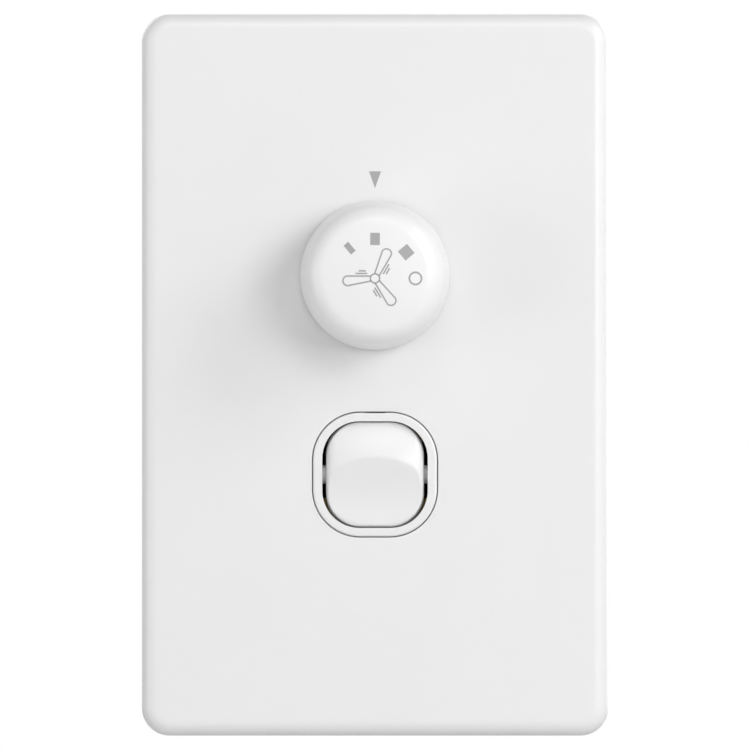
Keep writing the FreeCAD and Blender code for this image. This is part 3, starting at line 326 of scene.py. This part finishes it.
def make_knob():
    """The knob's shell, its shoulder running on from the domed face, with hub and ribs inside."""
    bm = bmesh.new()
    rim_y = knob_front + knob_face_dome
    rim_slope = math.asin(knob_face_r / knob_dome_r)
    shoulder = (knob_top_r - knob_face_r) / (1 - math.sin(rim_slope))
    side_end = rim_y + shoulder * math.cos(rim_slope)
    roof = knob_front + knob_wall + knob_face_dome + shoulder / 2
    inner_base_r = knob_base_r - knob_wall
    inner_top_r = knob_top_r - knob_wall
    profile = [(inner_base_r, knob_base)]
    for i in range(base_round_steps + 1):
        a = math.radians(90 * i / base_round_steps)
        profile.append((knob_base_r - knob_base_round * (1 - math.sin(a)),
                        knob_base - knob_base_round * (1 - math.cos(a))))
    for i in range(1, side_steps):
        t = i / side_steps
        profile.append((knob_base_r + (knob_top_r - knob_base_r) * t,
                        knob_base + (side_end - knob_base) * t))
    for i in range(2 * round_steps + 1):
        a = (math.pi / 2 - rim_slope) * i / (2 * round_steps)
        profile.append((knob_top_r - shoulder * (1 - math.cos(a)),
                        side_end - shoulder * math.sin(a)))
    for i in range(1, face_steps):
        radius = knob_face_r * (1 - i / face_steps)
        profile.append((radius, knob_face_y(radius)))
    profile.append((0, knob_front))
    rings = lathe(bm, profile, controller_z)
    inner = [rings[0]]
    for radius, y in ((inner_top_r, roof), (knob_hub_r, roof), (knob_hub_r, knob_hub_base),
                      (knob_bore_r, knob_hub_base), (knob_bore_r, knob_bore_end)):
        inner.append(add_loop(bm, circle_loop(radius, y, controller_z)))
    skin(bm, inner)
    bm.faces.new(inner[-1])
    for i in range(knob_rib_count):
        verts = add_box(bm, knob_hub_r - knob_wall / 4, inner_top_r + knob_wall / 2, roof,
                        knob_rib_base, -knob_rib_thickness / 2, knob_rib_thickness / 2)
        turn = Matrix.Rotation(math.radians(360 * i / knob_rib_count), 4, "Y")
        bmesh.ops.transform(bm, verts=verts,
                            matrix=Matrix.Translation((0, 0, controller_z)) @ turn)
    return new_object("knob_skin", bm)


def lower_face(z):
    """Depth of the lower face: straight, then curved, then the edge land."""
    steep = math.tan(math.radians(rocker_lower_slope))
    flat = math.tan(math.radians(rocker_land_slope))
    run = rocker_crest_offset - z
    if run <= rocker_lower_facet:
        return -rocker_crest + run * steep
    part = min(run - rocker_lower_facet, rocker_lower_curve)
    bend = steep * part - (steep - flat) * part * part / (2 * rocker_lower_curve)
    land = max(run - rocker_lower_facet - rocker_lower_curve, 0) * flat
    return -rocker_crest + rocker_lower_facet * steep + bend + land


def soft_deeper(a, b, width):
    """The deeper of two depths, rounded where they meet."""
    h = max(width - abs(a - b), 0) / width
    return max(a, b) + h * h * width / 4


def crown_sag(x):
    """How far the crown falls back across the rocker, rounded into its sides."""
    x = abs(x)
    corner_x = rocker_half_width - rocker_side_round
    corner_r = rocker_crown_r - rocker_side_round
    corner_y = rocker_crown_r - math.sqrt(corner_r ** 2 - corner_x ** 2)
    touch_x = corner_x * rocker_crown_r / corner_r
    if x <= touch_x:
        return rocker_crown_r - math.sqrt(rocker_crown_r ** 2 - x ** 2)
    over = min(x - corner_x, rocker_side_round)
    return corner_y - math.sqrt(rocker_side_round ** 2 - over ** 2)


def upper_face(x, z):
    """Depth of the upper face, the crown turned about an axis behind it."""
    start = math.radians(rocker_upper_slope)
    axis_y = rocker_upper_r * math.cos(start) - rocker_crest
    axis_z = rocker_crest_offset - rocker_upper_r * math.sin(start)
    reach = rocker_upper_r - crown_sag(x)
    return axis_y - math.sqrt(max(reach ** 2 - (z - axis_z) ** 2, 0))


def rocker_front(x, z):
    """Depth of the rocker's face in front of its pivot, before it is tilted."""
    return soft_deeper(upper_face(x, z), lower_face(z), rocker_crest_round)


def in_barrel(x, y, z, inset=0.0):
    """Whether a point lies in the outline that is turned about the pivot."""
    half, end = rocker_half_width - inset, rocker_end_r - inset
    corner = rocker_corner - inset
    r = math.hypot(y, z)
    if r > end:
        return False
    over = r - (end - corner)
    if over <= 0:
        return abs(x) <= half
    return abs(x) <= half - corner + math.sqrt(max(corner ** 2 - over ** 2, 0))


def barrel_reach(angle, depth_at, inset=0.0):
    """How far a ray from the middle runs in the barrel, at the depth that depth_at gives."""
    low, high = 0.0, 2 * rocker_end_r
    for _ in range(search_steps):
        middle = (low + high) / 2
        x, z = middle * math.cos(angle), middle * math.sin(angle)
        if in_barrel(x, depth_at(x, z), z, inset):
            low = middle
        else:
            high = middle
    return low


def rocker_at_rest():
    """Takes what is drawn about the pivot to its place, the upper half pressed in."""
    return (Matrix.Translation((0, pivot_y, switch_z))
            @ Matrix.Rotation(math.radians(-rocker_tilt), 4, "X"))


def face_loops(rays):
    """Loops from the middle of the rocker's face out to its rounded edge."""
    edge_round = rocker_edge_round

    def front_edge(x, z):
        return min(rocker_front(x, z) + edge_round, rocker_skirt - edge_round)

    edge = [barrel_reach(a, front_edge) for a in rays]
    shares = [1 - (1 - i / rocker_rings) ** rocker_ring_crowding
              for i in range(1, rocker_rings + 1)]
    loops = []
    for share in shares:
        points = []
        for a, reach in zip(rays, edge):
            x, z = share * reach * math.cos(a), share * reach * math.sin(a)
            gap = max(edge_round - (1 - share) * reach, 0)
            y = rocker_front(x, z) + edge_round - math.sqrt(edge_round ** 2 - gap ** 2)
            points.append((x, min(y, rocker_skirt - edge_round), z))
        loops.append(points)
    return loops


def skirt_loops(rays, face_edge):
    """Loops from the edge of the rocker's face down to its open back."""
    loops = []
    for i in range(1, rocker_skirt_rings + 1):
        points = []
        for a, (_, y_edge, _) in zip(rays, face_edge):
            y = y_edge + (rocker_skirt - y_edge) * i / rocker_skirt_rings
            reach = barrel_reach(a, lambda x, z: y)
            points.append((reach * math.cos(a), y, reach * math.sin(a)))
        loops.append(points)
    return loops


def inner_loops(rays):
    """Loops from the rim of the rocker's open back inward behind its face."""
    rim = [barrel_reach(a, lambda x, z: rocker_skirt, rocker_wall) for a in rays]
    loops = [[(r * math.cos(a), rocker_skirt, r * math.sin(a)) for a, r in zip(rays, rim)]]
    for share in rocker_inner_shares:
        points = []
        for a, r in zip(rays, rim):
            x, z = share * r * math.cos(a), share * r * math.sin(a)
            y = min(rocker_front(x, z) + rocker_wall, rocker_skirt - rocker_edge_round)
            points.append((x, y, z))
        loops.append(points)
    return loops


def add_rocker_shell(bm):
    """The rocker's wall, drawn along rays from its middle and closed there on both sides."""
    rays = [2 * math.pi * i / rocker_rays for i in range(rocker_rays)]
    face = face_loops(rays)
    loops = face + skirt_loops(rays, face[-1]) + inner_loops(rays)
    made = [add_loop(bm, points) for points in loops]
    skin(bm, made)
    middle = rocker_front(0, 0)
    for loop, y in ((made[0], middle), (made[-1], middle + rocker_wall)):
        pole = bm.verts.new((0, y, 0))
        for i in range(len(loop)):
            bm.faces.new((pole, loop[i], loop[(i + 1) % len(loop)]))


def add_rocker_stem(bm):
    """The stem behind the rocker's face, rooted in its wall, with the spring's bore."""
    stem = [[(x, rocker_front(x, z) + rocker_wall * stem_root_share, z)
             for x, _, z in circle_loop(stem_r, 0, count=stem_sides)]]
    for radius, y in ((stem_r, stem_reach), (stem_bore_r, stem_reach),
                      (stem_bore_r, stem_reach - stem_bore_depth)):
        stem.append(circle_loop(radius, y, count=stem_sides))
    stem = [add_loop(bm, points) for points in stem]
    skin(bm, stem)
    bm.faces.new(stem[0])
    bm.faces.new(stem[-1])


def add_trunnions(bm):
    """The two pins that the rocker turns on, rooted in its side walls."""
    length = trunnion_end - rocker_half_width + rocker_wall / 2
    profile = [(0, 0), (trunnion_r, 0), (trunnion_r, length - trunnion_chamfer),
               (trunnion_r - trunnion_chamfer, length), (0, length)]
    for side in (-1, 1):
        rings = lathe(bm, profile, count=stem_sides)
        place = (Matrix.Translation((side * (trunnion_end - length), 0, 0))
                 @ Matrix.Rotation(math.radians(-90 * side), 4, "Z"))
        bmesh.ops.transform(bm, verts=[vert for loop in rings for vert in loop], matrix=place)


def make_rocker():
    """The rocker's shell with stem, rib and trunnions, tilted to rest."""
    bm = bmesh.new()
    add_rocker_shell(bm)
    add_rocker_stem(bm)
    add_box(bm, -rocker_half_width + rocker_wall / 2, rocker_half_width - rocker_wall / 2,
            -rocker_crest / 2, rocker_skirt - rocker_wall,
            -rocker_rib_thickness / 2, rocker_rib_thickness / 2)
    add_trunnions(bm)
    bmesh.ops.transform(bm, verts=bm.verts, matrix=rocker_at_rest())
    return new_object("rocker_skin", bm, angle=40.0)


def make_spring():
    """The coil in the rocker's stem, drawn about the pivot and tilted to rest with it."""
    bm = bmesh.new()
    coil_r = stem_bore_r - spring_side_gap - spring_wire_r
    start = stem_reach - stem_bore_depth + spring_end_gap + spring_wire_r
    stop = plunger_back - spring_end_gap - spring_wire_r
    count = spring_turns * coil_turn_steps
    wire_angles = [2 * math.pi * i / coil_wire_sides for i in range(coil_wire_sides)]
    rings = []
    for i in range(count + 1):
        a = 2 * math.pi * i / coil_turn_steps
        middle = Vector((coil_r * math.cos(a), start + (stop - start) * i / count,
                         coil_r * math.sin(a)))
        outward = Vector((math.cos(a), 0, math.sin(a)))
        along = Vector((-math.sin(a), (stop - start) / (spring_turns * 2 * math.pi * coil_r),
                        math.cos(a))).normalized()
        across = along.cross(outward)
        rings.append([middle + spring_wire_r * (outward * math.cos(b) + across * math.sin(b))
                      for b in wire_angles])
    rings = [add_loop(bm, points) for points in rings]
    skin(bm, rings)
    bm.faces.new(rings[0])
    bm.faces.new(rings[-1])
    bmesh.ops.transform(bm, verts=bm.verts, matrix=rocker_at_rest())
    return new_object("plunger_spring_coil", bm, angle=60.0)


def flat_print(bm, shapes, depth_at):
    """Thin printed shapes laid on a surface, each its two sides and whether it is a closed band."""
    for left, right, closed in shapes:
        count = len(left)
        pairs = [(i, (i + 1) % count) for i in range(count if closed else count - 1)]
        tops, bottoms = [], []
        for side in (left, right):
            tops.append([bm.verts.new((u, depth_at(u, v) - print_proud, v)) for u, v in side])
            bottoms.append([bm.verts.new((u, depth_at(u, v) + print_sunk, v)) for u, v in side])
        for i, j in pairs:
            bm.faces.new((tops[0][i], tops[0][j], tops[1][j], tops[1][i]))
            bm.faces.new((bottoms[0][i], bottoms[1][i], bottoms[1][j], bottoms[0][j]))
            bm.faces.new((tops[0][i], bottoms[0][i], bottoms[0][j], tops[0][j]))
            bm.faces.new((tops[1][i], tops[1][j], bottoms[1][j], bottoms[1][i]))
        if not closed:
            for i in (0, count - 1):
                bm.faces.new((tops[0][i], tops[1][i], bottoms[1][i], bottoms[0][i]))


def stroke(points, width, closed=False):
    """The two sides of a line of the given width along points."""
    count = len(points)
    left, right = [], []
    for i, (u, v) in enumerate(points):
        before = points[i - 1] if closed or i > 0 else points[i]
        after = points[(i + 1) % count] if closed or i < count - 1 else points[i]
        du1, dv1 = u - before[0], v - before[1]
        du2, dv2 = after[0] - u, after[1] - v
        n1, n2 = math.hypot(du1, dv1) or 1, math.hypot(du2, dv2) or 1
        du, dv = du1 / n1 + du2 / n2, dv1 / n1 + dv2 / n2
        n = math.hypot(du, dv) or 1
        nu, nv = -dv / n, du / n
        bend = (dv1 * du - du1 * dv) / (n1 * n)
        mitre = width / 2 / math.sqrt(max(1 - bend * bend, mitre_limit))
        left.append((u + nu * mitre, v + nv * mitre))
        right.append((u - nu * mitre, v - nv * mitre))
    return left, right, closed


def subdivided(points, closed=False):
    """The same line with a point at least every print_step."""
    out = []
    count = len(points)
    for i in range(count if closed else count - 1):
        a, b = points[i], points[(i + 1) % count]
        pieces = max(1, math.ceil(math.dist(a, b) / print_step))
        out += [(a[0] + (b[0] - a[0]) * k / pieces, a[1] + (b[1] - a[1]) * k / pieces)
                for k in range(pieces)]
    return out if closed else out + [points[-1]]


def turned(points, degrees):
    c, s = math.cos(math.radians(degrees)), math.sin(math.radians(degrees))
    return [(u * c - v * s, u * s + v * c) for u, v in points]


def arc(cu, cv, radius, start, end):
    """Points on a circle from one angle to another, in degrees."""
    angles = [math.radians(start + (end - start) * i / arc_steps) for i in range(arc_steps + 1)]
    return [(cu + radius * math.cos(a), cv + radius * math.sin(a)) for a in angles]


def ring(radius, width, cu=0.0, cv=0.0):
    """A closed band of the given width on a circle."""
    outer, inner = [], []
    for side, reach in ((outer, radius + width / 2), (inner, radius - width / 2)):
        for i in range(ring_sides):
            a = 2 * math.pi * i / ring_sides
            side.append((cu + reach * math.cos(a), cv + reach * math.sin(a)))
    return outer, inner, True


def bar(radius, along, across, degrees):
    """A filled rectangle centred at a radius, its along side pointing outward."""
    low, high = radius - along / 2, radius + along / 2
    reaches = [low + (high - low) * i / bar_steps for i in range(bar_steps + 1)]
    left = [(reach, across / 2) for reach in reaches]
    right = [(reach, -across / 2) for reach in reaches]
    return turned(left, degrees), turned(right, degrees), False


# Speed marks round the fan sign, each by its angle in degrees from +X towards +Z and its distance
# out. Off is a ring, with its radius and line width. The others are bars, with their length outward
# and across.
off_mark = (0.0, 6.45, 0.965, 0.30)
high_mark = (40.0, 6.5, 1.9, 1.9)
medium_mark = (90.0, 6.3, 1.96, 1.53)
low_mark = (130.0, 6.3, 1.85, 0.97)

# Fan sign, angles in degrees: three outlined blades round a hub, each with two motion lines beside
# it, given by their distance from the blade's middle and where they start and end
fan_hub_r = 0.73
fan_blade_angles = (65.0, 185.0, 306.0)
fan_tip_centre = 4.35
fan_tip_r = 0.78
fan_tip_turn = 84
fan_root_upper = 0.36
fan_root_lower = -0.42
fan_edge_lean = 5.0
fan_motion_lines = ((0.79, 1.24, 3.10), (1.20, 1.46, 2.60))


def fan_blade(degrees):
    """One blade's outline, drawn along +X and turned to its angle."""
    upper_root = (math.sqrt(fan_hub_r ** 2 - fan_root_upper ** 2), fan_root_upper)
    lower_root = (math.sqrt(fan_hub_r ** 2 - fan_root_lower ** 2), fan_root_lower)
    tip = arc(fan_tip_centre, 0, fan_tip_r, fan_tip_turn, -fan_tip_turn)
    outline = subdivided([upper_root, tip[0]])[:-1] + tip + subdivided([tip[-1], lower_root])[1:]
    return stroke(turned(outline, degrees), print_line)


def make_knob_print():
    """The fan sign and the four speed marks on the knob's face."""
    bm = bmesh.new()
    shapes = [ring(fan_hub_r, print_line)]
    for angle in fan_blade_angles:
        shapes.append(fan_blade(angle))
        for offset, near, far in fan_motion_lines:
            line = subdivided([(near, -offset), (far, -offset)])
            shapes.append(stroke(turned(line, angle - fan_edge_lean), print_line))
    angle, radius, size, width = off_mark
    shapes.append(ring(size, width, radius * math.cos(math.radians(angle)),
                       radius * math.sin(math.radians(angle))))
    for angle, radius, along, across in (high_mark, medium_mark, low_mark):
        shapes.append(bar(radius, along, across, angle))
    flat_print(bm, shapes, lambda u, v: knob_face_y(math.hypot(u, v - print_drop)))
    bmesh.ops.translate(bm, verts=bm.verts, vec=(0, 0, controller_z - print_drop))
    return new_object("knob_print", bm)


# The printed pointer on the plate above the knob
pointer_width = 1.9
pointer_tip_width = 0.02
pointer_top = 16.72
pointer_tip = 14.05
pointer_steps = 10


def make_pointer():
    bm = bmesh.new()
    left, right = [], []
    for i in range(pointer_steps + 1):
        t = i / pointer_steps
        v = pointer_top + (pointer_tip - pointer_top) * t
        half = pointer_width / 2 * (1 - t) + pointer_tip_width / 2
        left.append((half, v))
        right.append((-half, v))
    flat_print(bm, [(left, right, False)], lambda u, v: plate_front)
    bmesh.ops.translate(bm, verts=bm.verts, vec=(0, 0, controller_z))
    return new_object("plate_pointer_print", bm)


# Finishes: noise scales per metre of the drift in colour, the drift in roughness and the fine
# grain, and the grain's height in metres
plastic_scales = (60.0, 240.0, 900.0)
plastic_grain = 0.000002
metal_scales = (150.0, 900.0, 2500.0)
metal_grain = 0.000003


def new_material(name, colour, roughness, metallic=0.0):
    """A plain principled material."""
    material = bpy.data.materials.new(name)
    material.use_nodes = True
    shader = material.node_tree.nodes["Principled BSDF"]
    shader.inputs["Metallic"].default_value = metallic
    shader.inputs["Roughness"].default_value = roughness
    shader.inputs["Base Color"].default_value = (*colour, 1)
    return material, material.node_tree, shader


def add_noise(tree, scale, detail=3.0):
    coords = tree.nodes.new("ShaderNodeTexCoord")
    noise = tree.nodes.new("ShaderNodeTexNoise")
    noise.inputs["Scale"].default_value = scale
    noise.inputs["Detail"].default_value = detail
    tree.links.new(coords.outputs["Object"], noise.inputs["Vector"])
    return noise


def vary_colour(tree, shader, noise, low, high):
    mix = tree.nodes.new("ShaderNodeMix")
    mix.data_type = "RGBA"
    mix.inputs["A"].default_value = (*low, 1)
    mix.inputs["B"].default_value = (*high, 1)
    tree.links.new(noise.outputs["Fac"], mix.inputs["Factor"])
    tree.links.new(mix.outputs["Result"], shader.inputs["Base Color"])


def vary_roughness(tree, shader, noise, low, high):
    span = tree.nodes.new("ShaderNodeMapRange")
    span.inputs["To Min"].default_value = low
    span.inputs["To Max"].default_value = high
    tree.links.new(noise.outputs["Fac"], span.inputs["Value"])
    tree.links.new(span.outputs["Result"], shader.inputs["Roughness"])


def add_bump(tree, shader, noise, distance):
    bump = tree.nodes.new("ShaderNodeBump")
    bump.inputs["Distance"].default_value = distance
    bump.inputs["Strength"].default_value = 1.0
    tree.links.new(noise.outputs["Fac"], bump.inputs["Height"])
    tree.links.new(bump.outputs["Normal"], shader.inputs["Normal"])


def plastic(name, low, high, rough_low, rough_high):
    """Moulded plastic whose colour and roughness drift a little, with a fine grain."""
    material, tree, shader = new_material(name, high, rough_high)
    drift, mottle, grain = plastic_scales
    vary_colour(tree, shader, add_noise(tree, drift), low, high)
    vary_roughness(tree, shader, add_noise(tree, mottle), rough_low, rough_high)
    add_bump(tree, shader, add_noise(tree, grain), plastic_grain)
    return material


def metal(name, low, high, rough_low, rough_high):
    """Plain metal, made the same way."""
    material, tree, shader = new_material(name, high, rough_high, metallic=1.0)
    drift, mottle, grain = metal_scales
    vary_colour(tree, shader, add_noise(tree, drift), low, high)
    vary_roughness(tree, shader, add_noise(tree, mottle, detail=4.0), rough_low, rough_high)
    add_bump(tree, shader, add_noise(tree, grain), metal_grain)
    return material


def give(obj, material):
    obj.data.materials.clear()
    obj.data.materials.append(material)


white = plastic("white_plastic", (0.81, 0.81, 0.81), (0.83, 0.83, 0.828), 0.28, 0.33)
# The knob's white is the plate's white plastic made a little lighter: a painted sheen standing in
# for the brighter glossy highlights on the knob's face.
knob_white_painted_sheen = plastic("knob_white_painted_sheen", (0.85, 0.85, 0.85), (0.87, 0.87, 0.868), 0.28, 0.32)
printed = plastic("print_grey", (0.36, 0.36, 0.36), (0.39, 0.39, 0.39), 0.35, 0.45)
grid = plastic("grid_plastic", (0.72, 0.72, 0.71), (0.76, 0.76, 0.75), 0.42, 0.52)
base = plastic("base_plastic", (0.68, 0.68, 0.66), (0.73, 0.73, 0.71), 0.40, 0.50)
nylon = plastic("nylon", (0.70, 0.67, 0.56), (0.76, 0.73, 0.62), 0.35, 0.45)
dark = plastic("dark_plastic", (0.020, 0.020, 0.021), (0.026, 0.026, 0.027), 0.45, 0.55)
laminate = plastic("board_laminate", (0.42, 0.29, 0.11), (0.52, 0.37, 0.16), 0.45, 0.60)
case = plastic("capacitor_case", (0.60, 0.40, 0.05), (0.68, 0.46, 0.07), 0.30, 0.42)
lacquer = plastic("resistor_body", (0.52, 0.42, 0.25), (0.60, 0.50, 0.30), 0.30, 0.40)
brass = metal("brass", (0.72, 0.52, 0.22), (0.80, 0.60, 0.28), 0.29, 0.38)
spring = metal("spring_steel", (0.52, 0.52, 0.54), (0.60, 0.60, 0.62), 0.28, 0.34)
zinc = metal("zinc_steel", (0.58, 0.59, 0.60), (0.68, 0.69, 0.70), 0.28, 0.40)
tin = metal("tinned_copper", (0.64, 0.64, 0.62), (0.72, 0.72, 0.70), 0.30, 0.45)

slot_materials = {
    "white_plastic": white,
    "grid_plastic": grid,
    "base_plastic": base,
    "dark_plastic": dark,
    "nylon": nylon,
    "spring_steel": spring,
    "brass": brass,
    "zinc_steel": zinc,
    "board_laminate": laminate,
    "tinned_copper": tin,
    "capacitor_case": case,
    "resistor_body": lacquer,
}
for subpart in frame["record"]["subparts"]:
    node = frame["nodes"][subpart["node"]]
    give(node, slot_materials[subpart["material_slot"]])

cover = make_cover()
give(cover, white)
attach(cover, "plate")
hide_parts("cover_plate")

knob = make_knob()
give(knob, knob_white_painted_sheen)
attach(knob, "selector")
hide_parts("knob")

rocker = make_rocker()
give(rocker, white)
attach(rocker, "rocker")
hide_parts("rocker")

coil = make_spring()
give(coil, spring)
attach(coil, "rocker")
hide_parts("plunger_spring")
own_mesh(coil)

knob_print = make_knob_print()
give(knob_print, printed)
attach(knob_print, "selector")

pointer = make_pointer()
give(pointer, printed)
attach(pointer, "plate")

# Floor far below the plate, pale and plain, in metres
floor_z = -0.30
floor_size = 6.0
floor_low = (0.69, 0.69, 0.69)
floor_high = (0.71, 0.71, 0.71)
floor_roughness = 0.8
floor_noise_scale = 2.0


def make_floor():
    bm = bmesh.new()
    bmesh.ops.create_grid(bm, x_segments=1, y_segments=1, size=floor_size / 2)
    mesh = bpy.data.meshes.new("floor")
    bm.to_mesh(mesh)
    bm.free()
    obj = bpy.data.objects.new("floor", mesh)
    obj.location = (0, 0, floor_z)
    bpy.context.scene.collection.objects.link(obj)
    material, tree, shader = new_material("floor_pale", floor_high, floor_roughness)
    vary_colour(tree, shader, add_noise(tree, floor_noise_scale), floor_low, floor_high)
    give(obj, material)


def make_world():
    """Plain soft light all round, seen as white by the camera and in reflections."""
    world = bpy.data.worlds.new("studio")
    bpy.context.scene.world = world
    world.use_nodes = True
    tree = world.node_tree
    tree.nodes.clear()
    path = tree.nodes.new("ShaderNodeLightPath")
    camera_or_glossy = tree.nodes.new("ShaderNodeMath")
    camera_or_glossy.operation = "MAXIMUM"
    seen = tree.nodes.new("ShaderNodeMath")
    seen.operation = "MAXIMUM"
    tree.links.new(path.outputs["Is Camera Ray"], camera_or_glossy.inputs[0])
    tree.links.new(path.outputs["Is Glossy Ray"], camera_or_glossy.inputs[1])
    tree.links.new(camera_or_glossy.outputs[0], seen.inputs[0])
    tree.links.new(path.outputs["Is Transmission Ray"], seen.inputs[1])
    ambient = tree.nodes.new("ShaderNodeBackground")
    ambient.inputs["Color"].default_value = (1, 1, 1, 1)
    ambient.inputs["Strength"].default_value = ambient_strength
    white_back = tree.nodes.new("ShaderNodeBackground")
    white_back.inputs["Color"].default_value = (1, 1, 1, 1)
    white_back.inputs["Strength"].default_value = 1.0
    mix = tree.nodes.new("ShaderNodeMixShader")
    out = tree.nodes.new("ShaderNodeOutputWorld")
    tree.links.new(seen.outputs[0], mix.inputs["Fac"])
    tree.links.new(ambient.outputs[0], mix.inputs[1])
    tree.links.new(white_back.outputs[0], mix.inputs[2])
    tree.links.new(mix.outputs[0], out.inputs["Surface"])


def add_area(name, place, size, power):
    """A square soft box that faces the middle of the plate."""
    light = bpy.data.lights.new(name, "AREA")
    light.shape = "SQUARE"
    light.size = size
    light.energy = power
    obj = bpy.data.objects.new(name, light)
    obj.location = place
    obj.rotation_euler = (-Vector(place)).to_track_quat("-Z", "Y").to_euler()
    bpy.context.scene.collection.objects.link(obj)


# Even light from all round, then soft boxes: three keys on the right, three fills on the left, one
# above and two behind. Each has its place and side in metres and its power in watts.
ambient_strength = 0.19
soft_boxes = (
    ("key_front", (0.60, -1.00, 0.24), 0.5, 4.6),
    ("key_side", (1.00, -0.55, 0.20), 0.5, 1.4),
    ("key_high", (0.85, -0.45, 0.60), 0.5, 3.8),
    ("fill_side", (-1.00, -0.50, -0.10), 0.6, 1.8),
    ("fill_wide", (-1.00, -0.60, 0.00), 1.4, 3.5),
    ("fill_front", (-0.50, -1.05, 0.00), 0.6, 0.4),
    ("top", (0.00, -0.92, 0.75), 0.5, 1.7),
    ("rear_left", (-0.70, 1.00, 0.60), 0.8, 3.0),
    ("rear_right", (0.80, 1.00, 0.30), 0.8, 4.0),
)

make_floor()
make_world()
for name, place, size, power in soft_boxes:
    add_area(name, place, size, power)

# A long lens on the middle of the plate, as wide as the photograph's frame at the plate's face
view_width = 0.1205
lens = 600.0
sensor = 36.0
camera_data = bpy.data.cameras.new("camera")
camera_data.lens = lens
camera_data.sensor_width = sensor
camera_data.clip_start = 0.01
camera_data.clip_end = 100.0
camera = bpy.data.objects.new("camera", camera_data)
camera.location = (0, plate_front * mm - view_width * lens / sensor, 0)
camera.rotation_euler = (math.radians(90), 0, 0)
bpy.context.scene.collection.objects.link(camera)
bpy.context.scene.camera = camera
bpy.context.scene.view_settings.view_transform = "Standard"
